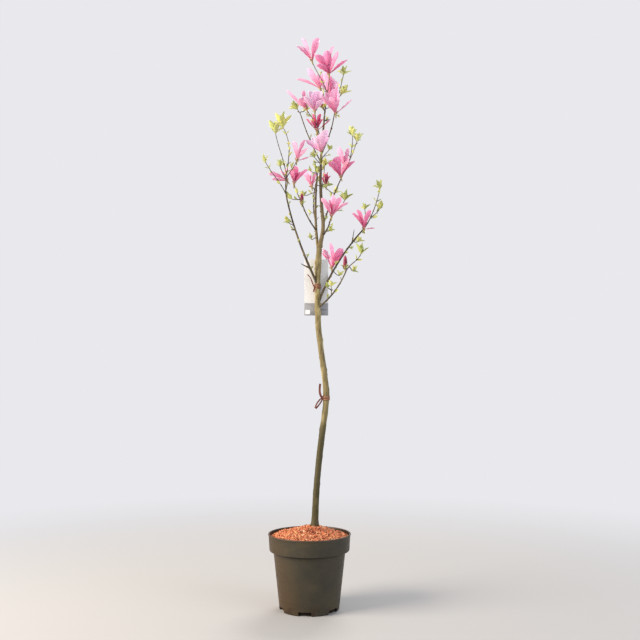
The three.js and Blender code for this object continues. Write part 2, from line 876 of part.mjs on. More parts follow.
function groundBlock() {
  const depth = 100;
  return solidOf(new THREE.BoxGeometry(depth, depth, depth).translate(0, 0, TRUNK.ground - depth / 2));
}

const wood = {};
for (const [name, limb] of Object.entries(limbs)) {
  const { sides, step = BOUGH_STEP } = BOUGHS[name] ?? TRUNK;
  let body = solidOf(bar(limb, limb.start, limb.length, sides, step));
  if (name === "trunk") body = body.subtract(groundBlock());
  const held = collars.filter((collar) => collar.parentName === name).map(({ solid }) => solid);
  const spurs = SPURS.filter((spur) => spur.from === name).map(spurSolid);
  wood[name] = fuse([body, ...held, ...spurs]);
}

// A leaf or tepal stays where its fatter copy touches nothing that belongs to another node.
const placed = { ...wood };
for (const plan of sprayPlans) placed[plan.name] = fuse(plan.bars);

function fits(test, own) {
  return Object.entries(placed).every(
    ([name, solid]) => name === own || test.intersect(solid).isEmpty(),
  );
}

const foliage = {};
for (const { name, spray, shoots, bars } of sprayPlans) {
  const solids = [...bars];
  shoots.forEach((shoot, index) => {
    const roll = dice(spray.seed * 100 + index);
    const pieces = HEAD_PIECES[shoot.head.kind](shoot.head, shoot.axis, roll);
    pieces.push(...sideLeafPieces(shoot, roll));
    for (const piece of pieces) {
      if (fits(solidOf(piece(CLEAR)), name)) solids.push(solidOf(piece(0)));
    }
  });
  foliage[name] = fuse(solids);
  placed[name] = foliage[name];
}

// ---------------------------------------------------------------- container and root ball

const bandFoot = POT.height - POT.bandHeight;

// The container's outside, from the middle of its underside up to the rolled rim.
const POT_OUTSIDE = [
  [0, 0],
  [POT.baseRadius - POT.footBevel, 0],
  [POT.baseRadius, POT.footBevel],
  [POT.neckRadius, bandFoot - 6],
  [POT.neckRadius + 4, bandFoot - 1],
  [POT.bandRadius, bandFoot + 2],
  [POT.bandRadius + 0.5, bandFoot + 5],
  [POT.rimRadius - 1, POT.height - 7],
  [POT.rimRadius, POT.height - 3],
  [POT.rimRadius - 1.5, POT.height],
];

// Its inside, from the rim down to the floor.
const POT_INSIDE = [
  [POT.rimRadius - 5, POT.height],
  [POT.rimRadius - 6, POT.height - 4],
  [POT.bandRadius - POT.wall - 1, bandFoot + 7],
  [POT.neckRadius - POT.wall, bandFoot - 2],
  [POT.baseRadius - POT.wall, POT.floor + 3],
  [POT.baseRadius - POT.wall - 3, POT.floor],
];

function turned(profile) {
  const points = profile.map(([radius, z]) => new THREE.Vector2(radius, z));
  return new THREE.LatheGeometry(points, POT.sides).rotateX(Math.PI / 2);
}

function potSolid() {
  const wall = solidOf(turned([...POT_OUTSIDE, ...POT_INSIDE, [0, POT.floor]]));
  const slots = Array.from({ length: POT.drains }, (_, i) => {
    const slot = new THREE.BoxGeometry(POT.drainWidth, POT.drainDepth * 2, POT.drainHeight * 2);
    slot.translate(0, -POT.baseRadius, 0);
    slot.rotateZ(radians(POT.drainTurn + (360 / POT.drains) * i));
    return solidOf(slot);
  });
  return fuse([wall.subtract(wasm.Manifold.union(slots))]);
}

// The root ball fills the container to a domed, rough surface with a flat seat for the trunk.
function substrateGeometry() {
  const lining = POT_INSIDE.slice(2).map(([radius, z]) => [radius - GAP, z + GAP]);
  const [upper, lower] = [POT_INSIDE[1], POT_INSIDE[2]];
  const edgeShare = (SUBSTRATE.edgeHeight - lower[1]) / (upper[1] - lower[1]);
  const edgeRadius = mix(lower[0], upper[0], edgeShare) - GAP;
  const dome = SUBSTRATE.rings.map((radius) => {
    const share = (radius - SUBSTRATE.seatRadius) / (edgeRadius - SUBSTRATE.seatRadius);
    return [radius, mix(SUBSTRATE.crownHeight, SUBSTRATE.edgeHeight, share ** 1.3)];
  });
  const smooth = [[0, POT.floor + GAP], ...lining.reverse(), [edgeRadius, SUBSTRATE.edgeHeight]];
  const seat = [
    [SUBSTRATE.seatRadius, SUBSTRATE.crownHeight],
    [0, SUBSTRATE.crownHeight],
  ];
  const profile = [...smooth, ...dome.reverse(), ...seat];
  const roll = dice(SUBSTRATE.seed);
  const bumps = Array.from({ length: POT.sides * dome.length }, () => mix(-0.6, 1.4, roll()));
  return reshape(turned(profile), (x, y, z, index) => {
    const ring = (index % profile.length) - smooth.length;
    const column = Math.floor(index / profile.length) % POT.sides;
    const rough = ring >= 0 && ring < dome.length;
    const bump = rough ? bumps[ring * POT.sides + column] * SUBSTRATE.roughness : 0;
    return new THREE.Vector3(x, y, z + bump);
  });
}

// ---------------------------------------------------------------- ties and card

// Where a band of some width sits on the trunk: its middle, the turn that sets a shape that is
// built round +Z square to the trunk there, and the trunk's thickest radius under the band.
function onTrunk(height, width) {
  const s = limbs.trunk.at(height);
  const turn = new THREE.Quaternion();
  turn.setFromUnitVectors(new THREE.Vector3(0, 0, 1), limbs.trunk.tangent(s));
  const radius = Math.max(limbs.trunk.radius(s - width / 2), limbs.trunk.radius(s + width / 2));
  return { position: limbs.trunk.point(s), quaternion: turn, radius };
}

// A band whose flats, not only its corners, keep clear of a round of the inner radius.
function bandGeometry(clearRadius, thickness, width, sides) {
  const inner = clearRadius / Math.cos(Math.PI / sides);
  const section = [
    [inner, -width / 2],
    [inner + thickness, -width / 2],
    [inner + thickness, width / 2],
    [inner, width / 2],
    [inner, -width / 2],
  ].map(([radius, z]) => new THREE.Vector2(radius, z));
  return new THREE.LatheGeometry(section, sides).rotateX(Math.PI / 2);
}

// A loose end of a strap, through points that are counted back from a front face.
function tail(points, face) {
  const placed = points.map(([right, back, up]) => new THREE.Vector3(right, face + back, up));
  const limb = new Limb(new THREE.CatmullRomCurve3(placed), () => STRAP.tail / 2);
  return solidOf(bar(limb, 0, limb.length, 4, 9, STRAP.flatness));
}

// A tie about the origin: a band round the trunk, a knot in front of it and two loose tails.
function tieSolid(tie, trunkRadius) {
  const snug = trunkRadius + GAP * 1.4;
  const stretch = (tie.reachBack ?? snug) / snug;
  const ring = bandGeometry(snug, STRAP.thickness, tie.band, STRAP.sides);
  const band = reshape(ring, (x, y, z) => new THREE.Vector3(x, y > 0 ? y * stretch : y, z));
  const face = -(snug + STRAP.thickness);
  const [right, behind, up] = tie.knot;
  const knot = new THREE.BoxGeometry(...STRAP.knot).translate(right, face + behind, up);
  return fuse([solidOf(band), solidOf(knot), tail(tie.raised, face), tail(tie.hanging, face)]);
}

// A piece of the card: a plate between two distances below the card's top edge.
function cardPlate(seat, from, to) {
  const plate = new THREE.BoxGeometry(CARD.width, CARD.thickness, to - from);
  const { x, y } = seat.position;
  const middle = CARD.topHeight - (from + to) / 2;
  return plate.translate(x - CARD.offCentre, y + CARD.behind + CARD.thickness / 2, middle);
}

// The card's white face, with a slot on either side of the trunk that the tie's band goes through.
function cardSolid(seat) {
  const face = cardPlate(seat, 0, CARD.height - CARD.bandHeight);
  const [near, far] = CARD.slots;
  const slots = [-1, 1].map((way) => {
    const height = TIES.upper_tie.band + CARD.slotSpare;
    const slot = new THREE.BoxGeometry(far - near, CARD.thickness * 4, height);
    const { x, y, z } = seat.position;
    return solidOf(slot.translate(x + (way * (near + far)) / 2, y + CARD.behind, z));
  });
  return solidOf(face).subtract(wasm.Manifold.union(slots));
}

// The grey band along the card's bottom edge.
function cardBandGeometry(seat) {
  return cardPlate(seat, CARD.height - CARD.bandHeight + GAP, CARD.height);
}

// ---------------------------------------------------------------- assembly

function finish(colour, roughness) {
  return new THREE.MeshStandardMaterial({ color: colour, roughness, metalness: 0 });
}

function named(name, geometry, colour, roughness) {
  const mesh = new THREE.Mesh(geometry, finish(colour, roughness));
  mesh.name = name;
  return mesh;
}

const container = new THREE.Group();
container.add(named("pot", geometryOf(potSolid()), COLOURS.pot, 0.55));
container.add(named("substrate", substrateGeometry(), COLOURS.substrate, 0.95));

const frame = new THREE.Group();
for (const [name, solid] of Object.entries(wood)) {
  const colour = name === "trunk" ? COLOURS.bark : COLOURS.bough;
  frame.add(named(name, geometryOf(solid), colour, 0.85));
}

const crown = new THREE.Group();
for (const [name, solid] of Object.entries(foliage)) {
  crown.add(named(name, geometryOf(solid), COLOURS.spray, 0.7));
}

const fittings = new THREE.Group();
const seats = {};
for (const [name, tie] of Object.entries(TIES)) {
  const seat = onTrunk(tie.height, tie.band);
  const mesh = named(name, geometryOf(tieSolid(tie, seat.radius)), COLOURS.tie, 0.7);
  mesh.position.copy(seat.position);
  mesh.quaternion.copy(seat.quaternion);
  fittings.add(mesh);
  seats[name] = seat;
}
fittings.add(
  named("card", geometryOf(cardSolid(seats.upper_tie)), COLOURS.card, 0.6),
  named("card_band", cardBandGeometry(seats.upper_tie), COLOURS.cardBand, 0.6),
);

const tree = new THREE.Group();
tree.add(container, frame, crown, fittings);

export default tree;
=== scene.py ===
"""Looks of a young magnolia standard in bloom, standing in a round nursery container.

The plant's rule is worked in millimetres, as the solids are, and meshes are made in metres.
Limbs, sprays, flowers and leaves grow from the same named places as the solids, and go on to
finer twigs, nodes, buds, stamens and leaves within the same reach.
"""

import json
import logging
import math
from collections.abc import Callable, Sequence
from dataclasses import dataclass, field, replace
from enum import Enum

import bpy
import numpy as np
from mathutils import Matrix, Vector

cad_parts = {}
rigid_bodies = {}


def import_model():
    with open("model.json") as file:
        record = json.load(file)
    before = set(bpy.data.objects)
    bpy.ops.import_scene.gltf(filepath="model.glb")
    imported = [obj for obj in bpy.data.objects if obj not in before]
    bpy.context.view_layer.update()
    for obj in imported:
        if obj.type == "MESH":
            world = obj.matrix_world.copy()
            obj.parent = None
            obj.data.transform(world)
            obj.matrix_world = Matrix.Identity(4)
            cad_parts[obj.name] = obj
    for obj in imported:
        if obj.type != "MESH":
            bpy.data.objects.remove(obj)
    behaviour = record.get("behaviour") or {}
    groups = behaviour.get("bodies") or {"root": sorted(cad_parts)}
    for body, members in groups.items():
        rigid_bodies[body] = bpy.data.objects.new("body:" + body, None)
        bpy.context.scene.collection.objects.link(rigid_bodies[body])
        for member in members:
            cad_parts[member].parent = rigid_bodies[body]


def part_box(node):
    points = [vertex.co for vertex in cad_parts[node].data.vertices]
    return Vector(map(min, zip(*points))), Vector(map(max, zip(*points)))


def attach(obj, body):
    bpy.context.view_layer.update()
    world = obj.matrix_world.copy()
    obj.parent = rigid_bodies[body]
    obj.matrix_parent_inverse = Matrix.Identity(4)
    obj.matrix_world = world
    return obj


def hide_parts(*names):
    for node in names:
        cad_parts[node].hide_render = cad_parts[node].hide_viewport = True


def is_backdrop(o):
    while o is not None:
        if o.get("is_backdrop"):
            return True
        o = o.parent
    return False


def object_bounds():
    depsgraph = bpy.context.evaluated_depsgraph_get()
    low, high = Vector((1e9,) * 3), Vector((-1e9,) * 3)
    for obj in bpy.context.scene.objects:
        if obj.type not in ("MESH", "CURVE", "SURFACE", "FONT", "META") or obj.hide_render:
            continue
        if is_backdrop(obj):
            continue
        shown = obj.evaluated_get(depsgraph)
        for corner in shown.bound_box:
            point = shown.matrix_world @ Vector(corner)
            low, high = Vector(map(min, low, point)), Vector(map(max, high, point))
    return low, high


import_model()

logging.basicConfig(level=logging.INFO, format="%(message)s")
log = logging.getLogger("magnolia")

Array = np.ndarray
Pair = tuple[float, float]
Triple = tuple[float, float, float]
Colour = Triple  # display values, from 0 to 255
Roll = Callable[[], float]
Profile = Callable[[Array], Array]  # a measure at each share of a length

MM = 0.001  # metres in a millimetre
BODY = "root"
GOLDEN_ANGLE = 137.508  # degrees from one leaf to the next
CLEAR = 1.5  # kept round a limb by every leaf and tepal of another spray
EYE = np.array((38.2, -2743.7, 763.9))  # the camera's place, in millimetres
RIGHT, FRONT, UP = np.array(((1.0, 0, 0), (0, -1, 0), (0, 0, 1)))


class Slot(str, Enum):
    """The record's material slots."""

    POT = "pot"
    MEDIUM = "growing_medium"
    BARK = "bark"
    YOUNG_BARK = "young_bark"
    FOLIAGE = "foliage"
    TIE = "tie"
    CARD = "card"
    CARD_BAND = "card_band"


# ---- seeded rule and vectors


def dice(seed: int) -> Roll:
    """Makes a repeatable series of numbers from 0 to 1.

    Args:
        seed: the number that the series depends on.

    Returns:
        A function that gives the next number.
    """
    mask = 0xFFFFFFFF
    state = seed & mask

    def roll() -> float:
        """Gives the next number of the series.

        Returns:
            A number from 0 to 1.
        """
        nonlocal state
        state = (state + 0x6D2B79F5) & mask
        t = state
        t = ((t ^ (t >> 15)) * (t | 1)) & mask
        t ^= (t + ((t ^ (t >> 7)) * (t | 61) & mask)) & mask
        return ((t ^ (t >> 14)) & mask) / (mask + 1)

    return roll


def mix(low: float, high: float, share: float) -> float:
    """Goes from low to high by a share."""
    return low + (high - low) * share


def spread(reach: float, roll: Roll) -> float:
    """Draws a number up to reach either side of nought."""
    return mix(-reach, reach, roll())


def unit(vector: Array) -> Array:
    """Scales a vector, or each row of an array of them, to a length of one."""
    return vector / np.linalg.norm(vector, axis=-1, keepdims=True)


def vec(*xyz: float) -> Array:
    """Makes a vector of floats."""
    return np.array(xyz, float)


def outward(axis: Array, degrees: float) -> Array:
    """Gives the direction across a unit axis after a turn about it, from the front.

    Args:
        axis: what it is square to.
        degrees: the turn.

    Returns:
        A unit vector.
    """
    across = unit(RIGHT - axis * axis[0])
    angle = math.radians(degrees)
    return across * math.sin(angle) + np.cross(across, axis) * math.cos(angle)


def turn_apart(turn: Array, centre: float) -> Array:
    """Gives how far apart directions are, in shares of a turn."""
    return np.abs((turn - centre + 0.5) % 1 - 0.5)


def hill(distance: Array, width: float) -> Array:
    """Gives the height of a smooth hill, one at its top, by the distance from it."""
    return np.exp(-((distance / width) ** 2))


def smooth_noise(seed: int, size: int | tuple[int, int]) -> Array:
    """Draws fixed numbers from -1 to 1."""
    return np.random.default_rng(seed).uniform(-1, 1, size)


def between(places: Array) -> tuple[Array, Array]:
    """Splits places into whole ones and the smoothed share of the way to the next.

    Args:
        places: any numbers.

    Returns:
        The whole numbers below them, and the smoothed shares.
    """
    whole = np.floor(places).astype(int)
    part = places - whole
    return whole, part * part * (3 - 2 * part)


def ripple(values: Array, places: Array) -> Array:
    """Reads a smooth curve through fixed values that loops after the last of them.

    Args:
        values: the fixed values, one apart.
        places: where the curve is read.

    Returns:
        The curve's values there.
    """
    whole, part = between(places)
    count = len(values)
    return values[whole % count] * (1 - part) + values[(whole + 1) % count] * part


# ---- curves and limbs


def catmull_rom(points: Sequence[Array], divisions: int = 40) -> Array:
    """Samples a smooth curve that passes through every point.

    Args:
        points: the points that it passes.
        divisions: samples between each two of them.

    Returns:
        An array of samples.
    """
    given = [np.asarray(point, float) for point in points]
    ends = [2 * given[0] - given[1], *given, 2 * given[-1] - given[-2]]
    t = np.linspace(0, 1, divisions, endpoint=False)[:, None]
    samples = []
    for p0, p1, p2, p3 in zip(ends, ends[1:], ends[2:], ends[3:]):
        start, finish = (p2 - p0) / 2, (p3 - p1) / 2
        cubic = (2 * p1 - 2 * p2 + start + finish) * t**3
        cubic += (3 * p2 - 3 * p1 - 2 * start - finish) * t**2
        samples.append(cubic + start * t + p1)
    return np.vstack([*samples, given[-1]])


def bezier(*controls: Array, divisions: int = 120) -> Array:
    """Samples a Bezier curve of any degree by its control points.

    Args:
        controls: its control points.
        divisions: steps from its start to its end.

    Returns:
        An array of samples.
    """
    t = np.linspace(0, 1, divisions + 1)[:, None]
    degree = len(controls) - 1
    terms = [math.comb(degree, i) * t**i * (1 - t) ** (degree - i) * p for i, p in enumerate(controls)]
    return np.sum(terms, axis=0)


def taper(thick: float, thin: float, power: float = 1.0) -> Profile:
    """Gives a limb's radius at each share of its length, from its diameter at either end."""
    return lambda share: (thick + (thin - thick) * share**power) / 2


def tube(centre: Array, side: Array, front: Array, radius: Array, sides: int) -> Array:
    """Makes rings of points, each of which starts at the front and goes round by the side.

    Args:
        centre: the rings' middles, rows by 3.
        side: a direction to the side, one for all or rows by 3.
        front: a direction to the front, likewise.
        radius: rows by sides, or rows by 1.
        sides: how many points a ring has.

    Returns:
        Rows by sides by 3.
    """
    angle = 2 * np.pi * np.arange(sides)[:, None] / sides
    across = side[..., None, :] * np.sin(angle) + front[..., None, :] * np.cos(angle)
    return centre[:, None, :] + across * radius[..., None]


class Limb:
    """A trunk, bough, shoot or stalk: a curve with a thickness along it."""

    def __init__(self, samples: Array, radius_at_share: Profile) -> None:
        """Measures the curve.

        Args:
            samples: close points along the curve.
            radius_at_share: the radius at each share of the curve's length.
        """
        self.samples = samples
        self.radius_at_share = radius_at_share
        steps = np.linalg.norm(np.diff(samples, axis=0), axis=1)
        self.lengths = np.concatenate([[0], np.cumsum(steps)])
        self.length = float(self.lengths[-1])
        self.start = 0.0  # the length along it at which it leaves its parent's bark
        chord = samples[-1] - samples[0]
        upright = abs(chord[0]) < 0.8 * np.linalg.norm(chord)
        self.reference = RIGHT if upright else -FRONT

    def point(self, s: float | Array) -> Array:
        """Gives the point, or the points, at lengths along the limb."""
        parts = [np.interp(s, self.lengths, self.samples[:, i]) for i in range(3)]
        return np.stack(parts, axis=-1)

    def radius(self, s: float | Array) -> Array:
        """Gives the radius at lengths along the limb."""
        return self.radius_at_share(np.clip(np.asarray(s, float) / self.length, 0, 1))

    def tangent(self, s: float | Array) -> Array:
        """Gives the direction of growth at lengths along the limb.

        Args:
            s: lengths along the limb.

        Returns:
            A unit vector for each.
        """
        reach = min(1.5, self.length / 4)
        low = np.clip(np.asarray(s, float) - reach, 0, self.length - 2 * reach)
        return unit(self.point(low + 2 * reach) - self.point(low))

    def rings(self, s: Array, factor: Array, sides: int) -> Array:
        """Makes rings round the limb.

        Args:
            s: the rings' lengths along it.
            factor: on its radius, rings by sides.
            sides: how many points a ring has.

        Returns:
            Rings by sides by 3.
        """
        tangent = self.tangent(s)
        side = unit(self.reference - tangent * (tangent @ self.reference)[:, None])
        front = np.cross(side, tangent)
        return tube(self.point(s), side, front, self.radius(s)[:, None] * factor, sides)

    def at(self, height: float) -> float:
        """Gives the length along the limb at which it reaches a height."""
        return float(np.interp(height, self.samples[:, 2], self.lengths))


# ---- meshes


class Sculpture:
    """Collects the points and faces of one joined mesh, in millimetres."""

    def __init__(self) -> None:
        """Starts empty."""
        self.points: list[Array] = []
        self.faces: list[Array] = []
        self.slots: list[Array] = []
        self.count = 0

    def add(self, points: Array, faces: Array, slot: int | Array = 0) -> None:
        """Adds points with the faces between them.

        Args:
            points: n by 3.
            faces: m by 3 or m by 4, counted from the first of these points.
            slot: one material slot, or one for each face.
        """
        self.points.append(np.asarray(points, float).reshape(-1, 3))
        self.faces.append(np.asarray(faces, int) + self.count)
        self.slots.append(np.broadcast_to(np.asarray(slot, int), (len(faces),)))
        self.count += len(self.points[-1])

    def skin(self, rings: Array, slot: int | Array = 0) -> Array:
        """Adds faces that face out between rings that rise and run anticlockwise.

        Args:
            rings: rows by columns by 3.
            slot: one material slot, or an array of them that spreads over rows by columns.

        Returns:
            The slots of the faces, rows by columns.
        """
        rows, columns = rings.shape[:2]
        row, column = np.divmod(np.arange((rows - 1) * columns), columns)
        low, following = row * columns + column, row * columns + (column + 1) % columns
        quads = np.stack([low, following, following + columns, low + columns], axis=1)
        slots = np.broadcast_to(np.asarray(slot, int), (rows - 1, columns))
        self.add(rings, quads, slots.ravel())
        return slots

    def capped(self, rings: Array, slot: int | Array = 0, foot: bool = True) -> None:
        """Adds rings with their last end, and their foot, filled in to a middle point.

        Args:
            rings: rows by columns by 3.
            slot: one material slot, or an array of them that spreads over rows by columns.
            foot: whether the first end is filled in too.
        """
        rows, columns = rings.shape[:2]
        base = self.count
        slots = self.skin(rings, slot)
        index = np.arange(columns)
        for row in (0, rows - 1) if foot else (rows - 1,):
            edge = base + row * columns - self.count  # the ring's first point, from the hub
            fan = [0 * index, edge + (index + 1) % columns, edge + index]
            if row:
                fan.reverse()
            self.add(rings[row].mean(axis=0), np.stack(fan, axis=1), slots[min(row, rows - 2)])

    def mesh(self, name: str) -> bpy.types.Mesh:
        """Makes a smooth-shaded Blender mesh, in metres, of all that was added.

        Args:
            name: the mesh's name.

        Returns:
            The mesh.
        """
        mesh = bpy.data.meshes.new(name)
        points = np.vstack(self.points) * MM
        corners = np.concatenate([faces.ravel() for faces in self.faces])
        sizes = np.concatenate([np.full(len(f), f.shape[1]) for f in self.faces])
        mesh.vertices.add(len(points))
        mesh.vertices.foreach_set("co", points.ravel())
        mesh.loops.add(len(corners))
        mesh.loops.foreach_set("vertex_index", corners)
        mesh.polygons.add(len(sizes))
        mesh.polygons.foreach_set("loop_start", np.cumsum(sizes) - sizes)
        mesh.polygons.foreach_set("material_index", np.concatenate(self.slots))
        mesh.polygons.foreach_set("use_smooth", np.ones(len(sizes), bool))
        mesh.update(calc_edges=True)
        mesh.validate()
        return mesh


def linked(name: str, data: bpy.types.ID | None) -> bpy.types.Object:
    """Puts data in the scene as an object.

    Args:
        name: the object's name.
        data: its mesh, lamp or camera.

    Returns:
        The object.
    """
    made = bpy.data.objects.new(name, data)
    bpy.context.scene.collection.objects.link(made)
    return made


# ---- shader groups and finishes


Socket = bpy.types.NodeSocket
Outputs = bpy.types.NodeOutputs
FLOAT, COLOUR = "NodeSocketFloat", "NodeSocketColor"


def rgba(colour: Colour) -> tuple[float, float, float, float]:
    """Turns a display colour into the linear colour that shaders take.

    Args:
        colour: display values, from 0 to 255.

    Returns:
        Linear values from 0 to 1, with an alpha of one.
    """
    shares = [value / 255 for value in colour]
    linear = [s / 12.92 if s <= 0.04045 else ((s + 0.055) / 1.055) ** 2.4 for s in shares]
    return (linear[0], linear[1], linear[2], 1.0)


class NodeTree:
    """The nodes of a material or a group, with short calls to add and link them."""

    def __init__(self, tree: bpy.types.NodeTree) -> None:
        """Takes a tree and empties it."""
        self.tree = tree
        tree.nodes.clear()

    def add(self, kind: str, inputs: dict[str | int, object], **settings: object) -> Outputs:
        """Adds a node.

        Args:
            kind: the node's type name, without its first word.
            inputs: values, or outputs of other nodes, for its inputs.
            settings: values for its properties.

        Returns:
            The node's outputs.
        """
        node = self.tree.nodes.new(kind if kind.startswith("NodeGroup") else "ShaderNode" + kind)
        for name, value in settings.items():
            setattr(node, name, value)
        for name, value in inputs.items():
            if isinstance(value, Socket):
                self.tree.links.new(value, node.inputs[name])
            else:
                node.inputs[name].default_value = value
        return node.outputs

    def maths(self, operation: str, a: object, b: object = 0.0) -> Socket:
        """Adds a sum on two values and gives its result."""
        return self.add("Math", {0: a, 1: b}, operation=operation)[0]

    def times(self, a: object, b: object) -> Socket:
        """Multiplies two values."""
        return self.maths("MULTIPLY", a, b)

    def fade(self, value: object, low: float, high: float, out: Pair = (0.0, 1.0)) -> Socket:
        """Carries a value smoothly from the stretch low to high into another stretch.

        Args:
            value: the value read.
            low: where the result is out[0].
            high: where the result is out[1].
            out: the two ends of the result.

        Returns:
            The result's socket.
        """
        ends = {"From Min": low, "From Max": high, "To Min": out[0], "To Max": out[1]}
        return self.add("MapRange", {"Value": value, **ends}, interpolation_type="SMOOTHSTEP")[0]

    def blend(self, share: object, a: object, b: object) -> Socket:
        """Mixes two colours by a share and gives the result."""
        return self.add("Mix", {0: share, 6: a, 7: b}, data_type="RGBA")[2]

    def own(self) -> Socket:
        """Gives the piece's own coordinates, in metres."""
        return self.add("TexCoord", {})["Object"]

    def texture(self, kind: str, scale: object, stretch: float = 1.0, **more: float) -> Outputs:
        """Adds a texture in the piece's own coordinates.

        Args:
            kind: the texture's type.
            scale: how fine it is.
            stretch: how far it is drawn out along the height.
            more: values for its other inputs.

        Returns:
            The texture's outputs.
        """
        squeezed = self.add("Mapping", {"Vector": self.own(), "Scale": (1.0, 1.0, 1.0 / stretch)})[0]
        place = self.add("VectorMath", {0: squeezed, "Scale": scale}, operation="SCALE")[0]
        return self.add("Tex" + kind, {"Vector": place, "Scale": 1.0, **more})

    def noise(self, scale: object, stretch: float = 1.0, **more: float) -> Socket:
        """Adds a noise texture and gives its height."""
        return self.texture("Noise", scale, stretch, **more)[0]


class EffectGroup:
    """A shader node group with named inputs and outputs, built once and used by many materials.

    Every one tints a base colour with a deeper and a paler one, and gives a height for a bump
    and a share for the roughness.
    """

    name = "effect"
    base: tuple[Triple, Triple, Triple] = ((0.5,) * 3, (0.2,) * 3, (0.8,) * 3)
    numbers: dict[str, float] = {}
    outputs = {"Color": COLOUR, "Height": FLOAT, "Roughness": FLOAT}

    def tree(self) -> bpy.types.NodeTree:
        """Gives the group, which the first call builds.

        Returns:
            The node tree that the materials share.
        """
        found = bpy.data.node_groups.get(self.name)
        if found:
            return found
        tree = bpy.data.node_groups.new(self.name, "ShaderNodeTree")
        colours = zip(("Base", "Deep", "Pale"), self.base)
        inputs = [(name, COLOUR, (*colour, 1)) for name, colour in colours]
        inputs += [(name, FLOAT, value) for name, value in self.numbers.items()]
        for name, kind, value in inputs:
            socket = tree.interface.new_socket(name, in_out="INPUT", socket_type=kind)
            socket.default_value = value
        for name, kind in self.outputs.items():
            tree.interface.new_socket(name, in_out="OUTPUT", socket_type=kind)
        nodes = NodeTree(tree)
        nodes.add("NodeGroupOutput", self.build(nodes, nodes.add("NodeGroupInput", {})))
        return tree

    def build(self, nodes: NodeTree, given: Outputs) -> dict[str, object]:
        """Builds the group's nodes.

        Args:
            nodes: the group's tree.
            given: its inputs.

        Returns:
            The socket behind each of its outputs.
        """
        raise NotImplementedError


class Mottle(EffectGroup):
    """Soft patches of a deeper and a paler colour over a base colour."""

    name = "mottle"
    numbers = {"Scale": 60.0, "Amount": 0.5}

    def build(self, nodes: NodeTree, given: Outputs) -> dict[str, object]:
        """Builds broad patches with fine grain in them.

        Args:
            nodes: the tree that it adds nodes to.
            given: the group's inputs.

        Returns:
            The socket behind each of the group's outputs.
        """
        amount = given["Amount"]
        broad = nodes.noise(given["Scale"], Detail=3.0)
        grain = nodes.noise(nodes.times(given["Scale"], 7.0), Detail=2.0)
        dark = nodes.times(nodes.fade(broad, 0.5, 0.3), amount)
        light = nodes.times(nodes.fade(broad, 0.5, 0.7), amount)
        toned = nodes.blend(light, nodes.blend(dark, given["Base"], given["Deep"]), given["Pale"])
        speck = nodes.times(nodes.fade(grain, 0.52, 0.36), amount)
        return {
            "Color": nodes.blend(nodes.times(speck, 0.5), toned, given["Deep"]),
            "Height": nodes.maths("ADD", broad, nodes.times(grain, 0.4)),
            "Roughness": nodes.fade(grain, 0.3, 0.7),
        }


class BarkSkin(EffectGroup):
    """Bark: long streaks, fine cracks, pale pores and the tone of weathered wood."""

    name = "bark_skin"
    base = ((0.3, 0.25, 0.15), (0.1, 0.08, 0.05), (0.6, 0.55, 0.4))
    numbers = {"Scale": 120.0, "Pores": 0.6}

    def build(self, nodes: NodeTree, given: Outputs) -> dict[str, object]:
        """Builds streaks along the height, patches, and round pores.

        Args:
            nodes: the tree that it adds nodes to.
            given: the group's inputs.

        Returns:
            The socket behind each of the group's outputs.
        """
        scale = given["Scale"]
        streak = nodes.noise(scale, 9.0, Detail=4.0, Distortion=0.6)
        patch = nodes.noise(nodes.times(scale, 0.22), 2.2, Detail=5.0)
        pore = nodes.texture("Voronoi", nodes.times(scale, 2.2), 0.8, Randomness=1.0)["Distance"]
        spots = nodes.times(nodes.fade(pore, 0.24, 0.12), given["Pores"])
        toned = nodes.blend(nodes.fade(streak, 0.56, 0.34), given["Base"], given["Deep"])
        toned = nodes.blend(nodes.fade(patch, 0.5, 0.72), toned, given["Pale"])
        return {
            "Color": nodes.blend(nodes.times(spots, 0.55), toned, given["Pale"]),
            "Height": nodes.maths("ADD", streak, nodes.times(spots, 0.35)),
            "Roughness": nodes.fade(patch, 0.3, 0.7),
        }


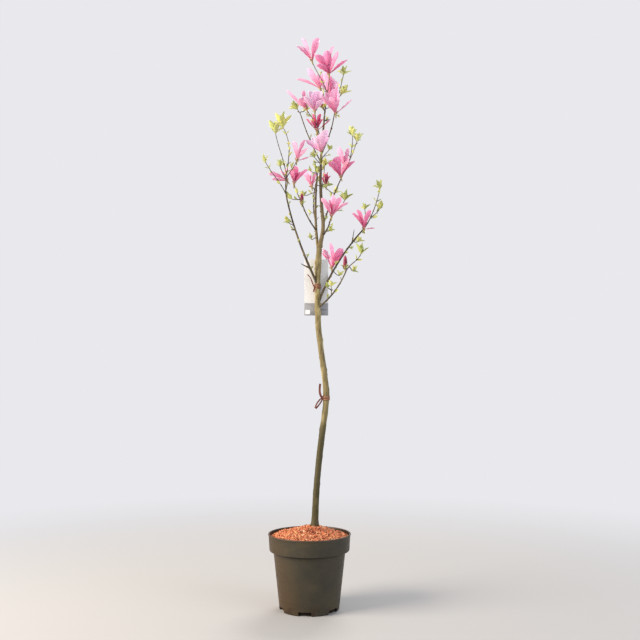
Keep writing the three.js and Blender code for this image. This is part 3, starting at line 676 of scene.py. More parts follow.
@dataclass(frozen=True)
class Finish:
    """A matt or satin skin with a mottled colour."""

    name: str
    base: Colour
    deep: Colour
    pale: Colour
    scale: float = 60.0
    amount: float = 0.5  # of the effect: how strong the mottling is, or how plain the pores are
    roughness: Pair = (0.5, 0.7)
    bump: float = 0.2
    bump_depth: float = 0.0004
    specular: float = 0.5
    through: float = 0.0  # share of the light that comes through a thin leaf or petal

    effect = Mottle()

    @classmethod
    def toned(cls, name: str, base: Colour, dark: Triple, light: float, **more: object) -> "Finish":
        """Makes a finish from one colour.

        Args:
            name: the material's name.
            base: its colour.
            dark: factors on its channels for the deeper colour.
            light: how far the paler colour is on the way to white.
            more: the finish's other values.

        Returns:
            The finish.
        """
        deep = tuple(value * factor for value, factor in zip(base, dark))
        return cls(name, base, deep, tuple(mix(value, 255, light) for value in base), **more)

    def colour(self, nodes: NodeTree, skin: Socket) -> Socket:
        """Gives the finish's colour, which a finish with more to it builds on."""
        return skin

    def material(self) -> bpy.types.Material:
        """Makes the material, or gives the one that was made before.

        Returns:
            The material, by the finish's name.
        """
        found = bpy.data.materials.get(self.name)
        if found:
            return found
        material = bpy.data.materials.new(self.name)
        material.use_nodes = True
        nodes = NodeTree(material.node_tree)
        tones = {"Base": rgba(self.base), "Deep": rgba(self.deep), "Pale": rgba(self.pale)}
        scale, amount = self.effect.numbers
        values = {**tones, scale: self.scale, amount: self.amount}
        skin = nodes.add("Group", values, node_tree=self.effect.tree())
        colour = self.colour(nodes, skin["Color"])
        relief = {"Height": skin["Height"], "Strength": self.bump, "Distance": self.bump_depth}
        normal = nodes.add("Bump", relief)[0]
        rough = nodes.fade(skin["Roughness"], 0.0, 1.0, self.roughness)
        look = {"Base Color": colour, "Roughness": rough, "Specular IOR Level": self.specular}
        surface = nodes.add("BsdfPrincipled", {**look, "Normal": normal})[0]
        if self.through:
            glow = nodes.add("BsdfTranslucent", {"Color": colour, "Normal": normal})[0]
            surface = nodes.add("MixShader", {0: self.through, 1: surface, 2: glow})[0]
        nodes.add("OutputMaterial", {"Surface": surface})
        return material


@dataclass(frozen=True)
class BarkFinish(Finish):
    """Bark, whose tone turns to a second one below a height."""

    roughness: Pair = (0.6, 0.8)
    bump: float = 0.6
    specular: float = 0.35
    foot_base: Colour = (58, 53, 24)
    foot_share: float = 0.84
    turn_low: float = 0.6  # metres, where the foot's tone is whole
    turn_high: float = 0.745  # metres, where it has gone

    effect = BarkSkin()

    def colour(self, nodes: NodeTree, skin: Socket) -> Socket:
        """Tints the lower stretch with the foot's tone.

        Args:
            nodes: the material's tree.
            skin: the mottled colour.

        Returns:
            The colour of the surface.
        """
        height = nodes.add("SeparateXYZ", {0: nodes.own()})["Z"]
        low = nodes.fade(height, self.turn_high, self.turn_low, (0.0, self.foot_share))
        return nodes.blend(low, skin, rgba(self.foot_base))


def shown(
    name: str, work: Sculpture, finishes: Sequence[Finish], nodes: Sequence[str]
) -> bpy.types.Object:
    """Puts a mesh in the scene as a piece of the part.

    Args:
        name: the piece's name.
        work: its points and faces, in place.
        finishes: those of its material slots, in order.
        nodes: the solids that it stands for.

    Returns:
        The piece.
    """
    piece = linked(name, work.mesh(name))
    for finish in finishes:
        piece.data.materials.append(finish.material())
    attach(piece, BODY)
    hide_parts(*nodes)
    log.info("%s: %d faces", name, len(piece.data.polygons))
    return piece


def sharpen(piece: bpy.types.Object, degrees: float) -> None:
    """Shades a piece smooth, with sharp edges over an angle."""
    piece.data.shade_smooth()
    piece.data.set_sharp_from_angle(angle=math.radians(degrees))


def carve(piece: bpy.types.Object, cutters: Sculpture, solver: str) -> None:
    """Cuts closed shapes out of a piece's mesh.

    Args:
        piece: what is cut.
        cutters: the closed shapes.
        solver: the modifier's way of working it out.
    """
    tool = linked("cutter", cutters.mesh("cutter"))
    cut = piece.modifiers.new("slots", "BOOLEAN")
    cut.operation, cut.object, cut.solver = "DIFFERENCE", tool, solver
    evaluated = piece.evaluated_get(bpy.context.evaluated_depsgraph_get())
    old, piece.data = piece.data, bpy.data.meshes.new_from_object(evaluated)
    piece.modifiers.clear()
    bpy.data.meshes.remove(old)
    piece.data.name = piece.name
    bpy.data.objects.remove(tool)


# ---- trunk and boughs


@dataclass(frozen=True)
class Bough:
    """A limb that leaves its parent at a height and ends at its tip."""

    parent: str
    foot: float
    diameters: Pair
    tip: Triple = (0, 0, 0)
    bow: Triple = (0, 0, 0)  # its middle, off the straight line
    axis: tuple[Triple, ...] = ()  # its points, where it isn't one bow


@dataclass(frozen=True)
class Spur:
    """A snag or a short dark spur on a limb."""

    parent: str
    foot: float
    reach: Triple
    diameters: Pair


LEADER_AXIS = ((50, -6, 1393), (44, -5, 1482), (40, 0, 1581), (44, 5, 1692), (55, 0, 1830))
BOUGHS = {
    "central_leader": Bough("trunk", 1316, (16.5, 6.5), axis=LEADER_AXIS),
    "left_leader": Bough("trunk", 1290, (12, 6.5), (27, 30, 1598), (-9, 0, 0)),
    "left_bough": Bough("trunk", 1178, (10, 5.5), (-83, -90, 1479), (-11, -11, 0)),
    "right_bough": Bough("trunk", 1102, (9.5, 5.5), (206, 105, 1410), (-16, -34, 0)),
    "right_low_bough": Bough("trunk", 1092, (7, 4.5), (133, -100, 1212), (6, -6, -14)),
    "left_inner_bough": Bough("left_leader", 1388, (6, 4.4), (-27, -55, 1469), (-3, -6, -5)),
    "back_bough": Bough("left_leader", 1432, (6, 4.4), (14, 110, 1549), (-4, 10, -10)),
    "front_bough": Bough("central_leader", 1372, (6, 4.6), (76, -130, 1396), (2, -8, -12)),
    "right_upper_bough": Bough("central_leader", 1404, (6.5, 4.6), (118, 106, 1610), (-6, 4, -6)),
    "top_left_bough": Bough("central_leader", 1652, (5, 3.8), (-37, 60, 1860), (-4, 6, -2)),
    "top_right_bough": Bough("central_leader", 1684, (5, 4), (90, -45, 1808), (6, -5, 0)),
}
LEADERS = ("central_leader", "left_leader")  # boughs that begin in the trunk's tone
SPURS = (
    Spur("left_bough", 1236, (-34, -8, 16), (5, 3.6)),
    Spur("central_leader", 1360, (17, 6, 22), (5, 3.4)),
    Spur("central_leader", 1815, (26, 4, 9), (4, 2.6)),
    Spur("left_bough", 1372, (-16, -4, 1), (4.4, 3.4)),
    Spur("right_bough", 1350, (9, -14, 52), (3.6, 2.6)),
)
BARK_LUMPS = ((7, 26, 0.03), (11, 12, 0.024), (19, 5, 0.016))  # round a turn, length, depth


@dataclass
class Framework:
    """The trunk and the boughs: their curves, and their bark with its relief."""

    ground: float = 293
    trunk_axis: tuple[Triple, ...] = (
        (18.4, 0, 280), (24, 2, 400), (33, 3, 510), (46, 1, 620), (59.5, -2, 725), (60.5, -3, 785),
        (52.5, -2, 855), (41, 1, 940), (31.5, 3, 1030), (29.5, 2, 1130), (30, 0, 1230), (36.5, 0, 1329),
    )
    foot_diameter: float = 24
    fork_diameter: float = 19.5
    flare: float = 10
    flare_reach: float = 15
    # height, how much thicker, and over what length
    swellings: tuple[Triple, ...] = ((760, 1.5, 18), (1075, 2.5, 30), (1245, 4, 45))
    knots: tuple[Triple, ...] = (
        (1262, 0.8, 2.2), (1060, 0.22, 1.4), (969, 0.24, 2.4), (905, 0.78, 1.2), (857, 0.27, 2.0),
        (786, 0.2, 1.6), (640, 0.76, 1.6), (540, 0.3, 1.4), (415, 0.72, 1.6),
    )  # old bud scars: height, share of a turn from the front, how far they stand out
    ring_step: float = 1.6  # between rings of the bark's mesh
    crotch: float = 16  # the length over which the trunk's end is rounded off inside its leaders
    trunk_sides: int = 56
    leader_sides: int = 40
    bough_sides: int = 28
    spur_sides: int = 14
    oval: float = 0.035  # how far a limb's section strays from round
    node_spacing: float = 46  # between the ring scars of one year's shoots
    collar: float = 0.45  # how much a bough swells where it leaves its parent
    collar_reach: float = 6.5
    limbs: dict[str, Limb] = field(default_factory=dict)

    def grow(self) -> None:
        """Works out the curve of every limb, parents first."""
        self.limbs["trunk"] = self.trunk()
        for name, bough in BOUGHS.items():
            foot, _ = self.foot(bough)
            if bough.axis:
                samples = catmull_rom([foot, *bough.axis])
            else:
                samples = bezier(foot, (foot + bough.tip) / 2 + 2 * vec(*bough.bow), vec(*bough.tip))
            self.limbs[name] = Limb(samples, taper(*bough.diameters, 0.8))

    def foot(self, branch: Bough | Spur) -> tuple[Array, float]:
        """Gives the point where a bough or spur leaves its parent, and the parent's radius.

        Args:
            branch: the bough or spur.

        Returns:
            The point, and the parent's radius there.
        """
        parent = self.limbs[branch.parent]
        s = parent.at(branch.foot)
        return parent.point(s), float(parent.radius(s))

    def trunk(self) -> Limb:
        """Makes the trunk's limb, with its swellings and root flare.

        Returns:
            The trunk, from under the ground to its fork.
        """
        samples = catmull_rom(self.trunk_axis)
        lengths = np.cumsum(np.linalg.norm(np.diff(samples, axis=0), axis=1))
        shares = np.concatenate([[0], lengths]) / lengths[-1]

        def radius(share: Array) -> Array:
            """Adds the swellings and the flare to the taper.

            Args:
                share: shares of the trunk's length.

            Returns:
                The radius at each of them.
            """
            height = np.interp(share, shares, samples[:, 2])
            rise = np.maximum(height - self.ground, 0)
            width = mix(self.foot_diameter, self.fork_diameter, share)
            width = width + self.flare * np.exp(-rise / self.flare_reach)
            swollen = sum(extra * hill(height - at, reach) for at, extra, reach in self.swellings)
            return (width + swollen) / 2

        return Limb(samples, radius)

    def relief(self, limb: Limb, s: Array, sides: int, seed: int) -> Array:
        """Works out how far the bark stands out of a limb's plain round.

        Args:
            limb: the limb.
            s: the lengths of its rings.
            sides: points in each ring.
            seed: what its irregular numbers depend on.

        Returns:
            The factor on the radius, rings by sides.
        """
        turn = np.arange(sides) / sides
        heading = turn + ripple(smooth_noise(seed + 1, 64), s / 90)[:, None]
        flatness = ripple(smooth_noise(seed, 64), s / 55)[:, None]
        factor = 1 + self.oval * flatness * np.cos(4 * np.pi * heading)
        for row, (columns, size, depth) in enumerate(BARK_LUMPS):
            layers = smooth_noise(seed + 2 + row, (64, 64))
            whole, part = between(s / size)
            low, high = (
                np.stack([ripple(layers[w % 64][:columns], turn * columns) for w in whole + step])
                for step in (0, 1)
            )
            factor += depth * mix(low, high, part[:, None])
        return factor + self.scars(limb, s, turn, seed)

    def scars(self, limb: Limb, s: Array, turn: Array, seed: int) -> Array:
        """Adds the rings and leaf scars that a shoot's nodes leave on its bark.

        Args:
            limb: the limb.
            s: the lengths of its rings.
            turn: the shares of a turn at which each ring's points lie.
            seed: what the scars' places depend on.

        Returns:
            What to add to the factor on the radius, rings by sides.
        """
        roll = dice(seed)
        extra = np.zeros((len(s), len(turn)))
        at, number = 8 + 20 * roll(), 0
        while at < limb.length - 4:
            thickness = float(limb.radius(at))
            past = s - at
            ring = hill(past, 1.9) - 0.7 * hill(past - 3.2, 1.4)  # a ridge with a groove after it
            extra += (0.32 / thickness) * ring[:, None]
            centre = (number * GOLDEN_ANGLE / 360 + 0.1 * roll()) % 1
            apart = turn_apart(turn, centre) * 2 * np.pi * thickness
            wide = 2.6 + 0.12 * thickness  # the leaf scar, and the hollow over it
            extra += (1.1 + 0.5 * roll()) / thickness * np.outer(hill(past + 1.5, 3.4), hill(apart, wide))
            extra -= 0.7 / thickness * np.outer(hill(past + 3.6, 1.6), hill(apart, wide * 0.6))
            at += self.node_spacing * (0.6 + 0.8 * roll())
            number += 1
        for height, centre, size in self.knots if limb is self.limbs["trunk"] else ():
            at = limb.at(height)
            thickness = float(limb.radius(at))
            apart = turn_apart(turn, centre) * 2 * np.pi * thickness
            rise = hill(s - at, np.where(s > at, 4.5, 9.0))
            extra += size / thickness * np.outer(rise, hill(apart, 5.5))
        return extra

    def skin(self, limb: Limb, sides: int, seed: int, foot: float = 0.0) -> Array:
        """Makes the rings of a limb's bark.

        Args:
            limb: the limb.
            sides: points in each ring.
            seed: what its relief depends on.
            foot: the radius of the parent that it leaves, or nought for the trunk.

        Returns:
            Rings by sides by 3.
        """
        s = np.linspace(0, limb.length, max(4, round(limb.length / self.ring_step)))
        if foot:
            shape = 1 + self.collar * np.exp(-np.maximum(s - foot, 0) / self.collar_reach)
            shape = shape * np.minimum(1, 0.55 + s / (foot + 4))
        else:
            ending = np.clip((s - limb.length + self.crotch) / self.crotch, 0, 1)
            shape = np.sqrt(1 - 0.96 * ending**2.5)
        return limb.rings(s, self.relief(limb, s, sides, seed) * shape[:, None], sides)

    def dress(self, trunk_finish: Finish, leader_finish: Finish, bough_finish: Finish) -> None:
        """Makes the two pieces of bark: the trunk's, and that of the leaders and boughs.

        Args:
            trunk_finish: the trunk's.
            leader_finish: that of the boughs that begin in its tone.
            bough_finish: the other boughs' and the spurs'.
        """
        trunk = Sculpture()
        rings = self.skin(self.limbs["trunk"], self.trunk_sides, 5)
        low = int(np.argmax(rings[:, :, 2].mean(axis=1) > self.ground))
        rings = rings[low - 1 :]
        rings[0, :, 2] = self.ground
        rings[1:, :, 2] = np.maximum(rings[1:, :, 2], self.ground + 0.2)
        trunk.capped(rings)
        shown("trunk_bark", trunk, [trunk_finish], ["trunk"])
        boughs = Sculpture()
        for number, (name, bough) in enumerate(BOUGHS.items()):
            leader = name in LEADERS
            sides = self.leader_sides if leader else self.bough_sides
            rings = self.skin(self.limbs[name], sides, 40 + 10 * number, self.foot(bough)[1])
            boughs.capped(rings, 0 if leader else 1)
        for number, spur in enumerate(SPURS):
            boughs.capped(self.spur(spur, 200 + number), 1)
        shown("bough_bark", boughs, [leader_finish, bough_finish], list(BOUGHS))

    def spur(self, spur: Spur, seed: int) -> Array:
        """Makes the rings of a spur with a worn, rounded end.

        Args:
            spur: which one.
            seed: what its relief depends on.

        Returns:
            Rings by sides by 3.
        """
        foot, thickness = self.foot(spur)
        tip = foot + spur.reach
        shape = taper(*spur.diameters)

        def radius(share: Array) -> Array:
            """Rounds off the end of the taper.

            Args:
                share: shares of the spur's length.

            Returns:
                The radius at each of them.
            """
            return shape(share) * np.sqrt(np.maximum(1 - share**8, 0.02))

        limb = Limb(bezier(foot, (foot + tip) / 2 - 2 * UP, tip), radius)
        return self.skin(limb, self.spur_sides, seed, thickness)


# ---- sprays


class Kind(Enum):
    """What a shoot ends in."""

    BLOOM = "bloom"
    BUD = "bud"
    TUFT = "tuft"


class Tone(Enum):
    """How deep a bloom's pink is."""

    LILAC = 0
    PINK = 1
    HOT = 2
    CRIMSON = 3


Tepal = Triple  # degrees that it leans to the right, reach and width from the front


@dataclass(frozen=True)
class Head:
    """A flower, a bud or a tuft of leaves, and the shoot that carries it."""

    kind: Kind
    off: float  # share of the stem's length at which the shoot leaves it
    at: Triple
    tone: Tone = Tone.PINK
    size: float = 1.0  # scale, or the length of a tuft's leaves
    lean: Pair = (0, 0)  # of the head's axis, to the right and to the back
    front: tuple[Tepal, ...] = ()  # tepals that lean to the front
    back: tuple[Tepal, ...] = ()  # tepals that lean to the back
    leaves: int = 5
    bow: Triple = (0, 0, 0)


@dataclass(frozen=True)
class Spray:
    """A stem with its shoots, which goes on from a bough's tip or leaves a limb's side."""

    limb: str
    seed: int
    heads: tuple[Head, ...]
    foot: float | None = None
    lit_bias: float = 1.0  # over 1, its leaves are dealt more of the bright greens, as painted light on a spray on the key lamp's side


def bloom(off: float, x: float, y: float, z: float, tone: Tone = Tone.PINK, **more: object) -> Head:
    """Describes a shoot that ends in a flower."""
    return Head(Kind.BLOOM, off, (x, y, z), tone, **more)


def bud(off: float, x: float, y: float, z: float, **more: object) -> Head:
    """Describes a shoot that ends in a flower bud."""
    return Head(Kind.BUD, off, (x, y, z), **more)


def tuft(off: float, x: float, y: float, z: float, **more: object) -> Head:
    """Describes a shoot that ends in a tuft of young leaves."""
    return Head(Kind.TUFT, off, (x, y, z), **more)


SPRAYS = {
    "left_spray": Spray("left_bough", 11, lit_bias=2.6, heads=(
        tuft(1, -101, -55, 1768, size=54, leaves=6, lean=(-0.1, 0), bow=(45, 0, 0)),
        tuft(0.06, -161, -125, 1611, size=29, lean=(-0.4, 0)),
        bloom(0.1, -85, -58, 1562, lean=(-0.6, 0.1), size=0.72,
            front=((-68, 72, 13), (-84, 56, 9)),
            back=((-35, 46, 17), (2, 52, 14))),
        tuft(0.24, -108, -112, 1600, size=31),
        tuft(0.3, -127, -95, 1732, size=50, leaves=7, lean=(-0.1, 0)),
        bloom(0.26, -49, -70, 1635, lean=(0.05, 0), size=0.8,
            front=((-11, 75, 16), (22, 83, 11)),
            back=((41, 64, 22), (74, 47, 8))),
    )),
    "left_inner_spray": Spray("left_inner_bough", 23, (
        bloom(1, -59, -38, 1556, Tone.HOT, lean=(0.08, 0), size=0.78,
            front=((8, 67, 24), (-15, 54, 18), (43, 72, 12)),
            back=((24, 50, 16),)),
        bud(0.12, -29, -66, 1477),
        tuft(0.2, -66, -72, 1487, size=38, lean=(-1, 0), leaves=3),
    )),
    "left_leader_spray": Spray("left_leader", 31, (
        tuft(1, 20, 44, 1640, size=22, leaves=4),
        tuft(0.4, 2, 56, 1634, size=20, leaves=3, lean=(-0.3, 0.1)),
    )),
    "back_spray": Spray("back_bough", 43, (
        tuft(1, 30, 158, 1660, size=34, lean=(0.1, 0.4)),
        bloom(0.25, 5, 118, 1588, lean=(-0.15, 0.25), size=0.76,
            front=((-28, 68, 18), (20, 60, 14)),
            back=((-3, 68, 15), (34, 52, 14))),
        tuft(0.1, -26, 150, 1562, size=28, lean=(-0.5, 0.5)),
        tuft(0.4, 62, 178, 1610, size=30, lean=(0.5, 0.5)),
    )),
    "top_spray": Spray("central_leader", 57, (
        bloom(1, 73, -45, 1982, Tone.HOT, lean=(-0.1, -0.15), size=1.08,
            front=((-33, 88, 26), (-5, 92, 27), (51, 86, 15), (-48, 56, 24), (-22, 56, 22)),
            back=((9, 110, 14), (20, 96, 20))),
        bloom(0.28, 38, 66, 1972, lean=(-0.3, 0.3), size=0.9,
            front=((-31, 96, 18), (-68, 99, 9)),
            back=((20, 64, 20), (-8, 60, 16))),
        bloom(0.36, 80, 52, 1936, lean=(0.15, 0.2), size=0.82,
            front=((-15, 98, 20), (-3, 82, 18), (24, 64, 13)),
            back=((-35, 60, 20), (8, 72, 20))),
        bloom(0.5, 7, 12, 2062, lean=(-0.22, 0), size=0.98,
            front=((-24, 99, 10), (14, 92, 25)),
            back=((-44, 82, 24), (-35, 66, 20), (17, 80, 15))),
        bud(0.12, 46, -22, 1866, size=0.6, lean=(-0.3, -0.1)),
        tuft(0.18, 74, 18, 1876, size=20, leaves=3, lean=(0.4, 0)),
    )),
    "top_front_spray": Spray("central_leader", 61, (
        bloom(1, 19, -78, 1823, Tone.LILAC, lean=(0, -0.25), size=0.98,
            front=((3, 74, 22), (-36, 66, 26), (34, 48, 20)),
            back=((-16, 80, 28), (16, 80, 27), (40, 60, 20), (-44, 60, 16))),
        bloom(0.6, -13, -34, 1848, lean=(-0.3, 0.1), size=0.86,
            front=((-47, 104, 10), (-7, 73, 16), (-38, 50, 23)),
            back=((23, 82, 10), (4, 54, 18))),
        bloom(0.3, 27, -72, 1749, Tone.CRIMSON, lean=(-0.05, -0.35), size=0.72,
            front=((12, 66, 17), (-15, 66, 9), (-31, 46, 11), (27, 50, 9)),
            back=((-41, 60, 8), (50, 62, 7))),
    ), foot=1704),
    "top_right_spray": Spray("top_right_bough", 73, (
        tuft(1, 129, -20, 1992, size=34, lean=(0.2, 0)),
        bloom(0.05, 97, -84, 1811, lean=(-0.05, -0.3), size=0.84,
            front=((-38, 84, 22), (-18, 66, 20), (5, 118, 11), (14, 54, 16)),
            back=((-3, 94, 27), (49, 79, 8), (-24, 88, 22))),
        tuft(0.42, 122, -60, 1898, size=34, lean=(0.5, -0.2)),
    )),
    "top_left_spray": Spray("top_left_bough", 83, (
        tuft(1, -52, 62, 1887, size=40, lean=(-0.6, 0)),
        tuft(0.3, -22, 92, 1892, size=30, lean=(0.3, 0.4)),
    )),
    "right_upper_spray": Spray("right_upper_bough", 97, (
        tuft(1, 185, 95, 1768, size=36, leaves=7, lean=(0.15, 0)),
        bloom(0.06, 120, 72, 1615, Tone.HOT, lean=(-0.3, -0.3), size=0.88,
            front=((-36, 72, 25), (-13, 79, 26), (41, 84, 15)),
            back=((24, 78, 20), (-26, 66, 20))),
        bloom(0.2, 136, 132, 1672, lean=(0.05, 0.3), size=0.9,
            front=((-17, 86, 18), (13, 80, 16)),
            back=((-2, 48, 20), (30, 44, 14))),
        tuft(0.52, 170, 150, 1812, size=38, leaves=7, lean=(-0.1, 0.3)),
    )),
    "right_spray": Spray("right_bough", 103, (
        tuft(1, 277, 120, 1582, size=36),
        bloom(0.05, 210, 78, 1408, Tone.HOT, lean=(-0.05, -0.25), size=0.86,
            front=((-19, 80, 18), (19, 78, 19), (-36, 76, 9)),
            back=((85, 42, 8), (5, 34, 14))),
        tuft(0.3, 269, 60, 1483, size=34, lean=(0.3, -0.2)),
        tuft(0.14, 219, 162, 1510, size=26, lean=(0, 0.2)),
    )),
    "right_side_spray": Spray("right_bough", 109, (
        tuft(1, 187, 112, 1366, size=28, lean=(0.7, 0.3)),
    ), foot=1352),
    "right_low_spray": Spray("right_low_bough", 113, (
        tuft(1, 185, -146, 1268, size=42, leaves=4),
        bud(0.06, 129, -110, 1226, size=1.2, lean=(0, -0.1)),
        tuft(0.2, 158, -82, 1216, size=26, leaves=4, lean=(0.8, 0.4)),
    )),
    "right_low_side_spray": Spray("right_low_bough", 127, (
        tuft(1, 80, -32, 1168, size=25, lean=(0.1, 0.5)),
        tuft(0.5, 66, -62, 1158, size=22, lean=(-0.2, -0.7), leaves=4),
    ), foot=1128),
    "right_inner_spray": Spray("right_bough", 131, (
        bloom(1, 84, 68, 1252, Tone.HOT, lean=(0.05, 0.2), size=0.94,
            front=((-5, 98, 15), (27, 85, 27)),
            back=((-25, 84, 21), (-34, 72, 18), (6, 50, 18))),
        tuft(0.5, 112, 62, 1222, size=26, lean=(0.9, 0.5), leaves=3),
    ), foot=1226),
    "front_spray": Spray("front_bough", 149, (
        tuft(1, 127, -168, 1458, size=38, lean=(0.1, -0.1)),
        bloom(0.1, 80, -146, 1404, lean=(0.1, -0.3), size=0.84,
            front=((-27, 72, 19), (3, 78, 14), (25, 75, 22), (50, 76, 10)),
            back=((-9, 60, 18), (11, 56, 20))),
    )),
    "upper_front_spray": Spray("central_leader", 151, (
        bloom(1, 43, -104, 1656, Tone.LILAC, lean=(-0.2, -0.5), size=0.8,
            front=((11, 82, 26), (-24, 56, 24)),
            back=((-52, 74, 26), (-34, 62, 24), (0, 68, 22), (24, 62, 16))),
        tuft(0.4, 17, -50, 1655, size=28, lean=(-0.3, 0)),
        tuft(0.7, 72, -76, 1674, size=24, lean=(0.6, 0), leaves=3),
    ), foot=1600),
    "upper_back_spray": Spray("central_leader", 167, (
        tuft(1, 56, 98, 1668, size=40, leaves=4),
        bloom(0.45, 62, 46, 1573, Tone.CRIMSON, lean=(0, -0.1), size=0.62,
            front=((7, 53, 9), (-11, 50, 8), (-28, 36, 6)),
            back=((24, 42, 9), (-3, 46, 9))),
        tuft(0.4, 96, 92, 1556, size=27, lean=(0.6, 0.3)),
    ), foot=1500),
    "fork_left_spray": Spray("left_leader", 173, (
        tuft(1, 4, -44, 1344, size=24, leaves=4, lean=(-0.3, -0.3)),
    ), foot=1354),
    "fork_right_spray": Spray("central_leader", 181, (
        tuft(1, 76, 48, 1396, size=26, leaves=4, lean=(0.4, 0.4)),
    ), foot=1374),
    "left_side_spray": Spray("left_bough", 191, (
        tuft(1, -78, -94, 1394, size=30, leaves=3, lean=(-0.5, -0.4)),
    ), foot=1384),
}


@dataclass
class Shoot:
    """A stem or a shoot of a spray, with the head at its end."""

    spray: str
    limb: Limb
    head: Head
    axis: Array


class Clearance:
    """Knows where all wood is, so that no leaf or tepal grows through another spray's."""

    def __init__(self) -> None:
        """Starts empty."""
        self.wood: list[tuple[str, Array, Array]] = []  # owner, centres and radii

    def record(self, owner: str, limb: Limb) -> None:
        """Adds a limb under its owner's name."""
        s = np.arange(limb.start, limb.length, 4.0)
        self.wood.append((owner, limb.point(s), limb.radius(s)))

    def free(self, points: Array, owner: str) -> bool:
        """Tells whether points keep clear of all wood but their owner's.

        Args:
            points: n by 3.
            owner: the spray or limb that they belong to.

        Returns:
            True if none comes closer than CLEAR.
        """
        for name, centres, radii in self.wood:
            if name == owner:
                continue
            apart = np.linalg.norm(points[:, None, :] - centres[None, :, :], axis=2) - radii[None, :]
            if apart.min() < CLEAR:
                return False
        return True


@dataclass
class Branching:
    """The rule by which stems and shoots leave the boughs."""

    shoot_foot: float = 3.6
    shoot_tip: float = 2.5
    stem_power: float = 0.7
    steepness: float = 0.55
    shoots: list[Shoot] = field(default_factory=list)

    def leaving(self, tangent: Array, start: Array, head: Head) -> Array:
        """Gives the direction in which a shoot leaves its stem."""
        straight = unit(vec(*head.at) - start)
        return unit(mix(tangent, straight, self.steepness))

    @staticmethod
    def path(start: Array, leaving: Array, head: Head) -> tuple[Array, Array]:
        """Works out a shoot's way to its head.

        Args:
            start: where it starts.
            leaving: its direction there.
            head: what it carries.

        Returns:
            The head's axis, and samples of the shoot's curve.
        """
        axis = unit(vec(*head.lean, 1))
        end = vec(*head.at)
        third = float(np.linalg.norm(end - start)) / 3
        arriving = unit(unit(end - start) + axis)
        last = end - arriving * third + vec(*head.bow)
        return axis, bezier(start, start + leaving * third, last, end)

    def grow(self, limbs: dict[str, Limb]) -> None:
        """Grows the stems and shoots of every spray.

        Args:
            limbs: the trunk and the boughs, by name.
        """
        for name, spray in SPRAYS.items():
            parent = limbs[spray.limb]
            onward = spray.foot is None
            s = parent.length if onward else parent.at(spray.foot)
            start, tangent, thickness = parent.point(s), parent.tangent(s), float(parent.radius(s))
            first, *rest = spray.heads
            leaving = tangent if onward else self.leaving(tangent, start, first)
            foot = 2 * thickness if onward else self.shoot_foot
            axis, samples = self.path(start, leaving, first)
            stem = Limb(samples, taper(foot, self.shoot_tip, self.stem_power))
            stem.start = 0.3 if onward else thickness + CLEAR
            self.shoots.append(Shoot(name, stem, first, axis))
            for head in rest:
                off = max(head.off * stem.length, stem.start + 3)
                root = stem.point(off)
                axis, samples = self.path(root, self.leaving(stem.tangent(off), root, head), head)
                limb = Limb(samples, taper(self.shoot_foot, self.shoot_tip))
                self.shoots.append(Shoot(name, limb, head, axis))


# ---- blades: leaves and tepals


@dataclass(frozen=True)
class Arc:
    """A spine that leaves its root at one angle from an axis and ends at another."""

    root: Array
    axis: Array
    out: Array
    length: float
    root_angle: float  # radians
    tip_angle: float

    @classmethod
    def to(cls, root: Array, axis: Array, away: Array, bend: float) -> "Arc":
        """Makes the spine that ends a given way off its root.

        Args:
            root: where it starts.
            axis: what it leaves at an angle.
            away: its tip, off its root.
            bend: radians that it turns away from the axis on its way.

        Returns:
            The spine.
        """
        straight = float(np.linalg.norm(away))
        along = float(away @ axis)
        chord = math.acos(along / straight)
        half = bend / 2 if abs(bend) > 0.02 else 0.01
        length = straight * half / math.sin(half)
        return cls(root, axis, unit(away - axis * along), length, chord - half, chord + half)

    def at(self, share: Array) -> tuple[Array, Array, Array]:
        """Gives the spine's points and the directions to its side and its outer face.

        Args:
            share: shares of the spine's length.

        Returns:
            Points, the direction to the side, and directions square to the outer face.
        """
        turn = self.tip_angle - self.root_angle
        turn = 0.01 if abs(turn) < 0.01 else turn
        angle = self.root_angle + turn * share
        along = (np.sin(angle) - math.sin(self.root_angle)) * self.length / turn
        away = (math.cos(self.root_angle) - np.cos(angle)) * self.length / turn
        points = self.root + np.outer(along, self.axis) + np.outer(away, self.out)
        face = np.outer(np.cos(angle), self.out) - np.outer(np.sin(angle), self.axis)
        return points, np.cross(self.axis, self.out), face


